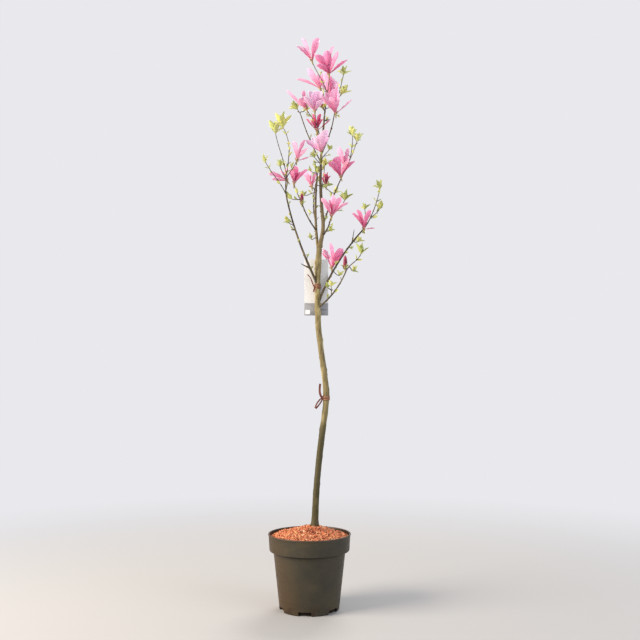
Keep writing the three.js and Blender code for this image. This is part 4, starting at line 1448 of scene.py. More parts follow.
@dataclass(frozen=True)
class Blade:
    """The outline and section of a thin blade: a tepal, a leaf or a bud scale."""

    outline: Profile  # half its width at each share of its length, from 0 to 1
    rows: int
    columns: int  # across one face
    thickness: float
    cup: float  # how far the edges rise off the middle, as a share of half the width
    crease: float  # depth of the fold along the midrib, as a share of half the width
    wave: float  # of the edges, as a share of half the width

    def rings(self, arc: Arc, width: float, roll: Roll, twist: float = 0.0) -> Array:
        """Makes closed rings round a blade, outer face first.

        Args:
            arc: its spine.
            width: its greatest width.
            roll: draws its irregularities.
            twist: radians that it turns about its spine, from root to tip.

        Returns:
            Rings by points by 3.
        """
        share = 1 - (1 - np.linspace(0, 1, self.rows)) ** 1.25  # closer rings at the tip
        half = self.outline(share) * width / 2
        centre, side, face = arc.at(share)
        angle = (twist * share**1.5)[:, None]
        across = side * np.cos(angle) + face * np.sin(angle)
        normal = face * np.cos(angle) - side * np.sin(angle)
        u = np.linspace(-1, 1, self.columns)
        cup = self.cup * (0.75 + 0.5 * roll())
        lean = 0.25 * (roll() - 0.5)
        depth = cup * np.abs(u + lean * (1 - u**2)) ** 1.7 - self.crease * (1 - np.abs(u)) ** 6
        left, right = 6.28 * roll(), 6.28 * roll()
        waves = 2 + 3 * roll()
        rise = share[:, None] * waves
        ruffle = np.where(u < 0, np.sin(rise * 6.28 + left), np.sin(rise * 5.6 + right))
        sunk = depth + self.wave * (np.abs(u) ** 2.2) * ruffle
        flat = u * (1 - 0.12 * cup * u**2)
        middle = centre[:, None, :] + across[:, None, :] * (flat * half[:, None])[..., None]
        middle = middle - normal[:, None, :] * (sunk * half[:, None])[..., None]
        thin = np.minimum(self.thickness / 2 * (1 - 0.75 * u**4), half[:, None] * 0.6)
        lift = normal[:, None, :] * thin[..., None]
        return np.concatenate([middle + lift, (middle - lift)[:, ::-1]], axis=1)


def spatulate(share: Array) -> Array:
    """A tepal's outline: a narrow claw, widest past its middle, and a round tip.

    Args:
        share: shares of its length, from its root.

    Returns:
        How wide it is there, from 0 to 1.
    """
    widest = 0.72
    claw = 0.2 + 0.8 * np.sin(np.pi / 2 * np.minimum(share / widest, 1)) ** 2
    past = np.maximum((share - widest) / (1 - widest), 0)
    return np.maximum(claw * np.sqrt(np.maximum(1 - past**2.2, 0.0)), 0.02)


def elliptic(share: Array) -> Array:
    """A leaf's outline: a short stalk, widest at its middle, and a pointed tip."""
    body = np.sin(np.pi * np.clip((share - 0.1) / 0.9, 0, 1) ** 0.85) ** 0.8
    return np.maximum(body * (1 - 0.25 * share), 0.05)


def pointed(share: Array) -> Array:
    """A bud scale's outline: broad at its foot and pointed."""
    return np.maximum(np.sqrt(np.maximum(1 - share**1.8, 0)), 0.03)


def furled(share: Array) -> Array:
    """The outline of a bud's tepal: full at its foot and pointed at its tip."""
    return np.maximum(np.sin(np.pi * (0.22 + 0.78 * share) ** 0.9) ** 0.7, 0.03)


TEPAL_BLADE = Blade(spatulate, 27, 15, 0.9, cup=0.36, crease=0.06, wave=0.11)
LEAF_BLADE = Blade(elliptic, 9, 5, 0.55, cup=0.3, crease=0.16, wave=0.07)
SCALE_BLADE = Blade(pointed, 6, 5, 0.7, cup=0.6, crease=0.0, wave=0.0)
FURLED_BLADE = replace(SCALE_BLADE, outline=furled)


def inner_face(columns: int) -> Array:
    """Tells which of the faces round a blade's ring are on its inner side."""
    return np.arange(2 * columns) >= columns


class Petals:
    """Paints tepals in steps of each tone, with some on the outer face and the rest on the inner."""

    outer_steps = 5  # from the pale tip to the deep foot
    tones: dict[Tone, tuple[Colour, ...]] = {
        Tone.LILAC: (
            (252, 228, 244), (251, 220, 240), (249, 208, 232), (244, 188, 216), (224, 148, 174),
            (246, 214, 238), (243, 198, 228),
        ),
        Tone.PINK: (
            (252, 206, 228), (250, 192, 218), (247, 176, 206), (238, 152, 188), (217, 118, 150),
            (248, 208, 232), (244, 188, 216),
        ),
        Tone.HOT: (
            (250, 181, 214), (248, 163, 202), (244, 145, 188), (232, 121, 168), (207, 90, 127),
            (247, 188, 217), (242, 166, 201),
        ),
        Tone.CRIMSON: (
            (226, 122, 158), (212, 96, 136), (192, 72, 110), (164, 48, 82), (128, 32, 52),
            (232, 142, 170), (212, 110, 140),
        ),
    }
    look = {"scale": 90.0, "amount": 0.4, "roughness": (0.42, 0.6), "bump": 0.35, "bump_depth": 0.0006}

    def slot(self, tone: Tone, level: Array, inside: Array) -> Array:
        """Numbers the material slot of a tone's level."""
        first = tone.value * len(self.tones[tone])
        return first + np.where(inside, self.outer_steps + np.minimum(level, 1), level)

    def finishes(self) -> list[Finish]:
        """Lists the finish of every slot.

        Returns:
            The finishes, in the slots' order.
        """
        more = {**self.look, "specular": 0.4, "through": 0.42}
        return [
            Finish.toned(f"petal_{tone.name.lower()}_{step}", colour, (0.92, 0.92, 0.92), 0.28, **more)
            for tone in Tone
            for step, colour in enumerate(self.tones[tone])
        ]

    def zones(self, tone: Tone, roll: Roll) -> Array:
        """Deals the slots over a tepal's faces: deep at the foot and up the midrib, pale at the tip.

        Args:
            tone: the bloom's tone.
            roll: draws how far the deep colour climbs.

        Returns:
            A slot for each face, by rows and columns.
        """
        rows, columns = TEPAL_BLADE.rows - 1, TEPAL_BLADE.columns
        share = (np.arange(rows) + 0.5)[:, None] / rows
        around, inside = np.arange(2 * columns)[None, :], inner_face(columns)[None, :]
        u = np.where(inside, 2 * columns - 1 - around, around) / (columns - 1) * 2 - 1
        climb = 4.4 - 4.6 * share ** (0.72 + 0.2 * roll())
        flame = 1.2 * hill(u, 0.34) * (1 - share)
        veins = 0.4 * np.cos(13.5 * u + 1.5 * share)
        level = np.round(climb + flame + veins + 0.6 * (roll() - 0.5))
        level = np.clip(level, 0, self.outer_steps - 1).astype(int)
        inner = (share < 0.45 + 0.2 * hill(u, 0.4)).astype(int)
        return self.slot(tone, np.where(inside, inner, level), inside)


class Greens:
    """Paints leaves and buds: young yellow-greens, an olive, and the brown of bud scales."""

    tones: tuple[Colour, ...] = (
        (232, 226, 122), (222, 217, 110), (208, 202, 112), (194, 200, 98), (174, 181, 84),
        (122, 84, 54), (150, 128, 66),
    )
    undersides: tuple[Colour, ...] = (
        (234, 234, 146), (226, 228, 138), (214, 212, 134), (204, 212, 124), (188, 198, 116),
        (142, 106, 76), (166, 146, 92),
    )
    olive, brown, stalk = 4, 5, 6
    look = {"scale": 110.0, "roughness": (0.4, 0.6), "bump": 0.4, "bump_depth": 0.0006, "specular": 0.45}

    def finishes(self) -> list[Finish]:
        """Lists an upper and a lower finish for every tone, of which only leaves let light through.

        Returns:
            The finishes, in the slots' order.
        """
        made = []
        for side, tones in (("upper", self.tones), ("under", self.undersides)):
            for step, colour in enumerate(tones):
                more = {**self.look, "through": 0.0 if step >= self.brown else 0.28}
                made.append(Finish.toned(f"leaf_{side}_{step}", colour, (0.78, 0.84, 0.7), 0.25, **more))
        return made

    def slots(self, tone: int, columns: int) -> Array:
        """Deals a tone's two materials to the outer and the inner face of a blade."""
        return np.where(inner_face(columns), tone, tone + len(self.tones))[None, :]


# ---- crown


@dataclass
class Crown:
    """Everything on the limbs: shoots, finer twigs, flowers, buds and leaves."""

    framework: Framework
    branching: Branching
    low: Array  # corners of the solids' box
    high: Array
    sunk: float = 4  # how far down its shoot's end a leaf or stalk starts
    seat: float = 8  # how far down its shoot's end a flower sits
    bloom_width: float = 31
    cup_length: float = 16
    reach_scale: float = 1.02  # from the reach that a tepal shows to its own
    seen_scale: float = 1.1  # from the width that a tepal shows to what it is turned for
    # how deep a tepal's tip may lie on its own side, or on the other, as a share of its reach
    depths: tuple[float, ...] = (*np.linspace(0.04, 0.8, 14), *np.linspace(-0.1, -0.7, 5))
    wrong_way: float = 5  # how much less a tip on the other side is liked
    edge_shows: float = 0.25  # share of a tepal's width that a cupped one shows edge on
    twig_sides: int = 9
    twig_step: float = 2.2  # between a twig's rings
    first_node: Pair = (10, 22)  # how far along a twig
    node_gap: Pair = (17, 37)
    knuckle: Pair = (0.26, 1.8)  # how far it stands out, as a share of the radius, and its length
    scar: Triple = (0.5, 2.2, 0.16)  # likewise, and its width as a share of a turn
    spur_reach: Pair = (3, 13)  # of a short twig
    spur_diameters: Pair = (2.5, 1.8)
    leafy_share: float = 0.7  # of the short twigs
    small_leaf: Pair = (12, 23)  # how long a short twig's leaf is
    cone: Pair = (2.6, 15)  # radius and length of a flower's middle
    styles: int = 34
    style: Pair = (0.42, 3.4)  # radius and length
    stamens: int = 30
    stamen: Triple = (0.75, 8, 10)  # radius, and the least and the greatest length
    twigs: Sculpture = field(default_factory=Sculpture)
    petals: Sculpture = field(default_factory=Sculpture)
    leaves: Sculpture = field(default_factory=Sculpture)
    hearts: Sculpture = field(default_factory=Sculpture)
    clearance: Clearance = field(default_factory=Clearance)
    painter: Petals = field(default_factory=Petals)
    greens: Greens = field(default_factory=Greens)

    def grow(self) -> None:
        """Grows every spray on the limbs, and the short twigs along the boughs."""
        for name, limb in self.framework.limbs.items():
            self.clearance.record(name, limb)
        for shoot in self.branching.shoots:
            self.clearance.record(shoot.spray, shoot.limb)
        grown = dict.fromkeys(SPRAYS, 0)
        for shoot in self.branching.shoots:
            seed, number = SPRAYS[shoot.spray].seed, grown[shoot.spray]
            grown[shoot.spray] += 1
            roll, own = dice(seed * 100 + number), dice(seed * 977 + number)
            self.stick(shoot.limb, own)
            if shoot.head.kind is Kind.BLOOM:
                self.bloom(shoot, own)
            elif shoot.head.kind is Kind.BUD:
                self.bud(shoot, own)
            else:
                self.tuft(shoot, roll, own)
            self.side_leaves(shoot, roll, own)
            self.short_twigs(shoot.limb, shoot.spray, own, shoot.limb.start + 14, 42, 0.5)
        for number, name in enumerate(BOUGHS):
            self.short_twigs(self.framework.limbs[name], name, dice(5000 + number), 60, 38, 0.72)

    def stick(self, limb: Limb, roll: Roll) -> None:
        """Makes the bark of a shoot: thin, with a knuckle and a leaf scar at every node.

        Args:
            limb: the shoot.
            roll: draws where its nodes are.
        """
        rows = max(4, round(limb.length / self.twig_step))
        s = np.linspace(0, limb.length, rows)
        turn = np.arange(self.twig_sides) / self.twig_sides
        factor = np.ones((rows, self.twig_sides))
        out, length = self.knuckle
        scar_out, scar_length, scar_width = self.scar
        at, number = mix(*self.first_node, roll()), 0
        while at < limb.length - 5:
            apart = turn_apart(turn, number * GOLDEN_ANGLE / 360 % 1)
            factor += out * hill(s - at, length)[:, None]
            factor += scar_out * np.outer(hill(s - at - 1, scar_length), hill(apart, scar_width))
            at += mix(*self.node_gap, roll())
            number += 1
        self.twigs.capped(limb.rings(s, factor, self.twig_sides))

    def short_twigs(
        self, limb: Limb, owner: str, roll: Roll, begin: float, spacing: float, chance: float
    ) -> None:
        """Sets short spurs along a limb, each with a bud or a few small leaves.

        Args:
            limb: what they grow on.
            owner: the spray or bough that they belong to.
            roll: draws their places, lengths and ends.
            begin: the length along the limb of the first.
            spacing: the mean length from one to the next.
            chance: the share of places where one has grown.
        """
        at, number = begin, 0
        while at < limb.length - 12:
            grown = roll() < chance
            turn = 360 * roll()
            reach = mix(*self.spur_reach, roll() ** 2)
            leafy = roll() < self.leafy_share
            size = mix(*self.small_leaf, roll())
            root, tangent = limb.point(at), limb.tangent(at)
            way = unit(outward(tangent, turn + number * GOLDEN_ANGLE) * 0.9 + tangent * 0.75)
            tip = root + way * (reach + float(limb.radius(at))) + tangent * reach * 0.25
            if grown and self.clearance.free(tip[None, :], owner):
                samples = bezier(root, root + way * reach * 0.5, tip, divisions=12)
                self.stick(Limb(samples, taper(*self.spur_diameters)), roll)
                self.end_of_twig(tip, unit(tip - root + tangent * 2), size, leafy, owner, roll)
            at += spacing * (0.6 + 0.8 * roll())
            number += 1

    def end_of_twig(
        self, tip: Array, axis: Array, size: float, leafy: bool, owner: str, roll: Roll
    ) -> None:
        """Ends a short twig in a pointed bud, with small leaves round it if it is leafy.

        Args:
            tip: the twig's end.
            axis: the direction that it grows in.
            size: the leaves' length.
            leafy: whether it has leaves.
            owner: the spray or bough that it belongs to.
            roll: draws its irregularities.
        """
        tone = self.greens.olive if leafy else self.greens.brown
        self.pointed_bud(tip, axis, 4.5 + 2.5 * roll(), 1.5, tone)
        for number in range(2 + int(2 * roll()) if leafy else 0):
            out = outward(axis, 40 + number * GOLDEN_ANGLE + spread(20, roll))
            opening = math.radians(28 + 22 * number + spread(9, roll))
            arc = Arc(tip - axis, axis, out, size * (0.75 + 0.4 * roll()), opening * 0.4, opening)
            self.leaf(arc, owner, roll)

    def bloom(self, shoot: Shoot, roll: Roll) -> None:
        """Makes a flower: its tepals, then what holds and fills them.

        Args:
            shoot: the shoot that carries it.
            roll: draws its irregularities.
        """
        head, axis = shoot.head, shoot.axis
        base = vec(*head.at) - axis * self.seat
        root = base + axis * self.cup_length * 0.45
        for side, tepals in ((-1, head.front), (1, head.back)):
            for tepal in tepals:
                self.tepal(root, tepal, side, shoot, roll)
        self.receptacle(base, axis, roll)
        self.heart(root, axis, head.size, roll)

    def tepal(self, root: Array, tepal: Tepal, side: int, shoot: Shoot, roll: Roll) -> None:
        """Makes one tepal, which keeps its place as seen from the front.

        Of the depths at which its tip may lie, it takes the one that turns it to show its width
        best, and that is clear of every other spray's wood. A broad one faces the front or the
        back, and a narrow one shows more of its edge.

        Args:
            root: the middle of the flower's cup.
            tepal: its lean, reach and width from the front.
            side: -1 if it leans to the front, 1 if to the back.
            shoot: the shoot that carries it.
            roll: draws its bend, cup, waves, twist and colours.
        """
        lean, reach, seen = tepal
        lean, reach, seen = math.radians(lean), reach * self.reach_scale, seen * self.seen_scale
        width = mix(1.3 * seen, self.bloom_width, 0.4)
        sight = (root - EYE) / (root - EYE)[1]
        _, back, up = shoot.axis
        bend, twist = mix(-0.3, 0.6, roll()), spread(0.3, roll)
        zones = self.painter.zones(shoot.head.tone, roll)
        rise, across = vec(math.sin(lean), 0, math.cos(lean)), vec(math.cos(lean), 0, -math.sin(lean))
        choices = []
        for depth in self.depths:
            deep = side * depth + math.cos(lean) * back / up
            arc = Arc.to(root, shoot.axis, (rise + sight * deep) * reach, bend)
            _, flat, face = arc.at(np.array([0.65]))
            looks = width * (abs(flat @ across) + self.edge_shows * abs(face[0] @ across))
            wrong_way = self.wrong_way if depth < 0 else 0
            choices.append((abs(looks - 1.15 * seen) + wrong_way, len(choices), arc))
        for _, _, arc in sorted(choices, key=lambda choice: choice[:2]):
            probe, _, _ = arc.at(np.array([0.4, 0.6, 0.8, 1.0]))
            if self.inside(probe[-1]) and self.clearance.free(probe, shoot.spray):
                self.petals.capped(TEPAL_BLADE.rings(arc, width, roll, twist), zones)
                return

    def inside(self, point: Array) -> bool:
        """Tells whether a point lies within the solids' reach."""
        return bool(np.all(point > self.low) and np.all(point < self.high))

    def scale(self, arc: Arc, width: float, brown: bool, roll: Roll) -> None:
        """Adds a bud scale.

        Args:
            arc: its spine.
            width: its greatest width.
            brown: whether it has dried.
            roll: draws its irregularities.
        """
        tone = self.greens.brown if brown else self.greens.olive
        slots = self.greens.slots(tone, SCALE_BLADE.columns)
        self.leaves.capped(SCALE_BLADE.rings(arc, width, roll), slots)

    def receptacle(self, base: Array, axis: Array, roll: Roll) -> None:
        """Makes the flower's short stalk with its rings, and the cast-off bud scales on it.

        Args:
            base: the stalk's foot.
            axis: the direction that it grows in.
            roll: draws the scales.
        """
        share = np.linspace(0, 1, 16)
        s = mix(-self.sunk - 6, self.cup_length * 0.62, share)
        radius = 1.7 + 2.6 * share**1.5
        for at, high in ((0.35, 0.35), (0.6, 0.4)):  # the rings
            radius += high * hill(share - at, 0.05)
        radius[-1] *= 0.5
        self.leaves.capped(self.turned(base, axis, s, radius, 12), self.greens.stalk)
        for number in range(2):
            out = outward(axis, 360 * roll())
            root = base + axis * (1 + 3 * number) + out * 2.2
            arc = Arc(root, axis, out, 11 + 5 * roll(), 0.5, 1.2 + 0.5 * roll())
            self.scale(arc, 8, bool(number), roll)

    def heart(self, root: Array, axis: Array, size: float, roll: Roll) -> None:
        """Makes the cone in the middle of a flower, with its curled styles and a ring of stamens.

        Args:
            root: the middle of the flower's cup.
            axis: the direction that it grows in.
            size: the flower's scale.
            roll: draws the stamens.
        """
        share = np.linspace(0, 1, 12)
        cone_radius, cone_length = self.cone
        radius = cone_radius * np.sqrt(np.maximum(1 - share**3, 0.02))
        s = mix(-2, cone_length * size, share)
        self.hearts.capped(self.turned(root, axis, s, radius, 10), 0)
        radius, length = self.style
        for number in range(self.styles):
            out = outward(axis, number * GOLDEN_ANGLE)
            rise = 4 + 10 * size * number / self.styles
            self.rod(Arc(root + axis * rise + out * 2.0, axis, out, length, 0.7, 2.0), radius, 1)
        radius, *lengths = self.stamen
        for number in range(self.stamens):
            out = outward(axis, number * GOLDEN_ANGLE + spread(6, roll))
            foot = root + axis * (0.5 + 3.0 * number / self.stamens) + out * 2.4
            self.rod(Arc(foot, axis, out, mix(*lengths, roll()), 0.95, 0.3), radius, 2)

    def rod(self, arc: Arc, radius: float, slot: int) -> None:
        """Makes a thin, round-ended rod along an arc, in the flowers' hearts.

        Args:
            arc: its spine.
            radius: its greatest radius.
            slot: its material slot.
        """
        centre, side, face = arc.at(np.array([0, 0.3, 0.7, 0.92, 1]))
        thick = radius * np.array([0.8, 1, 1, 0.8, 0.3])
        self.hearts.capped(tube(centre, side, face, thick[:, None], 5), slot)

    @staticmethod
    def turned(base: Array, axis: Array, s: Array, radius: Array, sides: int) -> Array:
        """Makes rings about an axis, with radii at distances along it."""
        side, front = outward(axis, 90), outward(axis, 0)
        return tube(base + np.outer(s, axis), side, front, radius[:, None], sides)

    def bud(self, shoot: Shoot, roll: Roll) -> None:
        """Makes a flower bud: furled tepals in brown-green scales.

        Args:
            shoot: the shoot that carries it.
            roll: draws its irregularities.
        """
        head, axis = shoot.head, shoot.axis
        base = vec(*head.at) - axis * self.seat
        tall = math.sqrt(head.size)
        length, radius = 42 * head.size, 6.0 * tall
        rows, inside = FURLED_BLADE.rows - 1, inner_face(FURLED_BLADE.columns)[None, :]
        level = np.clip(np.round(4 - 3 * np.arange(rows) / rows), 0, 4).astype(int)[:, None]
        zones = self.painter.slot(Tone.CRIMSON, level, inside)
        for number in range(4):
            out = outward(axis, number * 120 + 30)
            inner = 0.82 if number == 3 else 1  # the last one fills the middle
            arc = Arc(base + out * radius * 0.45 * inner, axis, out, length * inner, 0.24, -0.22)
            self.petals.capped(FURLED_BLADE.rings(arc, radius * 2.7 * inner, roll, 0.25), zones)
        for number in range(5):
            out = outward(axis, number * 144 - 20)
            root = base - axis * 2 + out * radius * 0.4
            arc = Arc(root, axis, out, (15 + 2 * number) * tall, 0.46, 0.1)
            self.scale(arc, radius * 2.1, not number, roll)
        self.receptacle(base, axis, roll)
        for number in range(2):
            out = outward(axis, 70 + number * 165)
            opening, length = 0.9 + 0.4 * roll(), 20 + 8 * roll()
            self.leaf(Arc(base - axis * 4, axis, out, length, 0.5, opening), shoot.spray, roll)

    def pointed_bud(self, base: Array, axis: Array, length: float, radius: float, tone: int) -> None:
        """Makes a small, pointed leaf bud.

        Args:
            base: where it starts.
            axis: the direction that it grows in.
            length: from there to its tip.
            radius: its greatest radius.
            tone: its material slot.
        """
        share = np.linspace(0, 1, 7)
        thick = radius * np.maximum(np.sin(np.pi * (0.3 + 0.7 * share)) ** 0.8, 0.08)
        self.leaves.capped(self.turned(base, axis, mix(-1.5, length, share), thick, 7), tone)

    def tuft(self, shoot: Shoot, roll: Roll, own: Roll) -> None:
        """Makes a tuft of young leaves round a furled one.

        Args:
            shoot: the shoot that carries it.
            roll: the source's own draws.
            own: draws for what the source doesn't have.
        """
        head, axis = shoot.head, shoot.axis
        tip, count = vec(*head.at), head.leaves
        for i in range(count):
            out = outward(axis, 40 + i * GOLDEN_ANGLE + spread(14, roll))
            root = tip - axis * self.sunk * (0.4 + 0.6 * i / count) + out * 0.3
            length = 1.12 * head.size * mix(0.78, 1.1, roll())
            opening = math.radians(mix(14, 74, i / (count - 1)) + spread(9, roll))
            self.leaf(Arc(root, axis, out, length, opening * 0.5, opening), shoot.spray, own)
        for i in range(count):
            out = outward(axis, 100 + i * GOLDEN_ANGLE)
            opening = math.radians(8 + 62 * i / count)
            length = head.size * (0.62 + 0.24 * own())
            self.leaf(Arc(tip - axis * 2, axis, out, length, opening * 0.5, opening), shoot.spray, own)
        self.pointed_bud(tip, axis, 6, 1.5, self.greens.stalk)

    def side_leaves(self, shoot: Shoot, roll: Roll, own: Roll) -> None:
        """Sets pairs of small leaves along a shoot, by the source's rule.

        Args:
            shoot: the shoot that carries them.
            roll: the source's own draws.
            own: draws for what the source doesn't have.
        """
        limb = shoot.limb
        count = math.floor((limb.length - limb.start) / 66)
        for i in range(count):
            s = mix(limb.start, limb.length, (i + 0.35 + 0.4 * roll()) / count)
            turn = 360 * roll()
            length = mix(17, 27, roll())
            if roll() >= 0.75:
                continue
            tangent, root = limb.tangent(s), limb.point(s)
            for past, angle in ((0, 48), (150, 60)):
                out = outward(tangent, turn + i * GOLDEN_ANGLE + past)
                opening = math.radians(angle)
                self.leaf(Arc(root, tangent, out, length, opening * 0.7, opening), shoot.spray, own)
            self.pointed_bud(root + outward(tangent, turn) * 1.4, tangent, 4, 1.1, self.greens.brown)

    def leaf(self, arc: Arc, owner: str, roll: Roll) -> None:
        """Makes one leaf, short enough for the solids' reach, unless it would grow through a limb.

        Args:
            arc: its spine.
            owner: the spray or bough that it belongs to.
            roll: draws its width, fold, twist and green.
        """
        share = 0.46 + 0.14 * roll()
        twist = spread(0.7, roll)
        # painted light: a spray on the lamp's side is dealt more of the bright greens
        lit_bias = SPRAYS[owner].lit_bias if owner in SPRAYS else 1.0
        tone = min(int(roll() ** lit_bias * 5.2), self.greens.olive)
        places = np.array([0.5, 0.75, 1.0])
        while arc.length > 8 and not self.inside(arc.at(places)[0][-1]):
            arc = replace(arc, length=arc.length * 0.85)
        rings = LEAF_BLADE.rings(arc, arc.length * share, roll, twist)
        if self.clearance.free(arc.at(places)[0], owner):
            self.leaves.capped(rings, self.greens.slots(tone, LEAF_BLADE.columns))

    def dress(self, twig_finish: Finish) -> None:
        """Makes the four pieces of the crown.

        Args:
            twig_finish: the bark of the shoots and twigs.
        """
        hearts = [
            Finish("cone_green", (176, 176, 92), (140, 138, 60), (206, 206, 130), 140.0),
            Finish("styles", (206, 150, 120), (170, 100, 90), (230, 190, 160), 140.0),
            Finish("stamens", (214, 160, 150), (176, 96, 110), (238, 206, 186), 140.0),
        ]
        for name, work, finishes, slot in (
            ("twigs", self.twigs, [twig_finish], Slot.YOUNG_BARK),
            ("petals", self.petals, self.painter.finishes(), Slot.FOLIAGE),
            ("leaves", self.leaves, self.greens.finishes(), Slot.FOLIAGE),
            ("flower_hearts", self.hearts, hearts, Slot.FOLIAGE),
        ):
            shown(name, work, finishes, list(SPRAYS))


# ---- container and root ball


@dataclass(frozen=True)
class PotPlastic(Finish):
    """Moulded plastic with dust low down and faint scuffs, and painted light and shade: warm light on its
    left, shade under its band and inside, and a tinted rim.
    """

    scale: float = 16.0
    roughness: Pair = (0.42, 0.6)
    bump: float = 0.25
    bump_depth: float = 0.0003
    specular: float = 0.3
    rim_low: float = 0.2604  # this and the lengths below are in metres
    rim_high: float = 0.2632
    dirt_high: float = 0.05
    crease: float = 0.2045  # the height under the band where a dark line of painted shade runs
    hollow: Pair = (0.1448, 0.209)  # out and up, within and over which the inside wall is darkened as painted shade
    warm_light: Colour = (70, 52, 28)  # painted warm light on the left side, most of all low down

    def colour(self, nodes: NodeTree, skin: Socket) -> Socket:
        """Adds dirt at the foot, scuffs, and painted light and shade: warm light on the left, a dark line
        under the band, a dark inside wall, and a brown rim tint.

        Args:
            nodes: the material's tree.
            skin: the mottled colour.

        Returns:
            The colour of the surface.
        """
        own = nodes.own()
        parts = nodes.add("SeparateXYZ", {0: own})
        height = parts["Z"]
        # painted warm light: the left side, towards the key lamp, is tinted warm brown, more so low down
        slant = nodes.maths("ADD", parts["X"], nodes.times(height, 0.3))
        warm_lit = nodes.blend(nodes.fade(slant, 0.03, -0.1, (0.0, 0.85)), skin, rgba(self.warm_light))
        low = nodes.fade(height, self.dirt_high, 0.0, (0.0, 0.9))
        dirt = nodes.times(low, nodes.fade(nodes.noise(34.0, Detail=6.0), 0.48, 0.62))
        dirty = nodes.blend(dirt, warm_lit, rgba((52, 38, 26)))
        scuff = nodes.fade(nodes.noise(130.0, 0.12, Detail=3.0), 0.66, 0.8, (0.0, 0.35))
        scuffed = nodes.blend(scuff, dirty, rgba((140, 132, 112)))
        flat = nodes.add("VectorMath", {0: own, 1: (1.0, 1.0, 0.0)}, operation="MULTIPLY")[0]
        away = nodes.add("VectorMath", {0: flat}, operation="LENGTH")["Value"]
        # painted shade: a near-black line on the neck just under the band, where the band's shadow falls
        off_band_shadow = nodes.maths("ABSOLUTE", nodes.maths("SUBTRACT", height, self.crease))
        band_shadow_reach = nodes.fade(away, 0.144, 0.14, (0.0, 0.9))
        under = nodes.times(nodes.fade(off_band_shadow, 0.008, 0.001), band_shadow_reach)
        shaded = nodes.blend(under, scuffed, rgba((14, 12, 10)))
        # the rim's top is tinted red-brown: painted light and shade of the lip, over some dust
        rim = nodes.fade(height, self.rim_low, self.rim_high, (0.0, 0.8))
        rimmed = nodes.blend(rim, shaded, rgba((84, 58, 42)))
        # painted shade: the inside wall above the soil is darkened
        out, up = self.hollow
        within = nodes.fade(away, out, out - 0.001, (0.0, 0.8))
        inner = nodes.times(within, nodes.fade(height, up - 0.003, up))
        return nodes.blend(inner, rimmed, rgba((38, 28, 22)))


def upright_rings(radius: Array, height: Array, sides: int) -> Array:
    """Makes rings about the vertical.

    Args:
        radius: rows by sides, or rows by 1.
        height: of each row.
        sides: how many points a ring has.

    Returns:
        Rows by sides by 3.
    """
    return tube(np.outer(height, UP), RIGHT, FRONT, radius, sides)


@dataclass
class Container:
    """The nursery container, turned from its profile, with its drain slots."""

    height: float = 265
    base: float = 108
    neck: float = 130
    band_foot: float = 205
    band: float = 145
    rim: float = 150
    wall: float = 2.5
    floor: float = 4
    drains: int = 6
    drain: Triple = (46, 24, 30)  # width, depth and height of the cutter, half of it below ground
    drain_turn: float = -8
    sides: int = 168

    def profile(self) -> list[Pair]:
        """Gives the section, from under the foot up, over the rim and back inside to the floor.

        Returns:
            Points out from the axis and up.
        """
        base, neck, foot, band = self.base, self.neck, self.band_foot, self.band
        rim, top = self.rim, self.height
        return [
            (40, 1.2), (base - 16, 1.0), (base - 13, 0), (base - 4, 0),
            *self.rounded((base - 4, 4), 4, -90, 0, 5),
            *self.line((base, 5), (neck - 0.2, foot - 9), 26),
            (neck + 0.8, foot - 6), (neck + 2.5, foot - 3.4),
            (neck + 6, foot - 1.2), (neck + 12, foot + 0.2),
            *self.rounded((band - 2.5, foot + 2.8), 2.6, -80, 8, 5),
            *self.line((band + 0.4, foot + 6), (rim - 1.6, top - 10), 10),
            *self.rounded((rim - 2.6, top - 3.2), 3.1, -40, 160, 11),
            (rim - 6.2, top - 4.5), (rim - 6.4, top - 12),
            *self.line((rim - 6.6, top - 16), (band - 3.4, foot + 8), 6),
            (neck - 1, foot), (neck - 2.6, foot - 4),
            *self.line((neck - 3, foot - 10), (base - self.wall - 0.4, 12), 8),
            (base - 5.5, self.floor), (base - 30, self.floor),
        ]  # fmt: skip

    @staticmethod
    def rounded(centre: Pair, radius: float, start: float, end: float, steps: int) -> list[Pair]:
        """Gives points on an arc, by angles in degrees from straight out."""
        angles = np.radians(np.linspace(start, end, steps))
        return [(centre[0] + radius * math.cos(a), centre[1] + radius * math.sin(a)) for a in angles]

    @staticmethod
    def line(start: Pair, end: Pair, steps: int) -> list[Pair]:
        """Gives points on a straight stretch."""
        return [tuple(point) for point in np.linspace(start, end, steps + 1)]

    def dress(self) -> None:
        """Makes the pot, which is slightly out of round, with its slots cut out."""
        angle = 2 * np.pi * np.arange(self.sides) / self.sides
        warp = 0.0016 * np.sin(2 * angle + 0.6) + 0.0008 * np.sin(3 * angle + 2)
        radius, height = np.array(self.profile()).T
        around = radius[:, None] * (1 + np.outer(np.minimum(height / self.height, 1), warp))
        shell = Sculpture()
        shell.capped(upright_rings(around, height, self.sides))
        finish = PotPlastic("pot_plastic", (60, 55, 43), (49, 47, 40), (76, 66, 46))
        piece = shown("pot_shell", shell, [finish], ["pot"])
        carve(piece, self.slots(), "MANIFOLD")
        sharpen(piece, 32)

    def slots(self) -> Sculpture:
        """Makes the drain slots' cutters: boxes with a rounded top, across the foot.

        Returns:
            The closed cutters.
        """
        cutters = Sculpture()
        wide, deep, tall = (size / 2 for size in self.drain)
        near, far = -self.base - deep, -self.base + deep
        rings = []
        for z, inset in ((-tall, 0), (tall - 2.5, 0), (tall - 0.6, 0.8), (tall, 2.6)):
            half = wide - inset
            rings.append([(-half, near, z), (half, near, z), (half, far, z), (-half, far, z)])
        for number in range(self.drains):
            turn = math.radians(self.drain_turn + 360 / self.drains * number)
            cos, sin = math.cos(turn), math.sin(turn)
            cutters.capped(np.array(rings) @ np.array(((cos, sin, 0), (-sin, cos, 0), (0, 0, 1))))
        return cutters


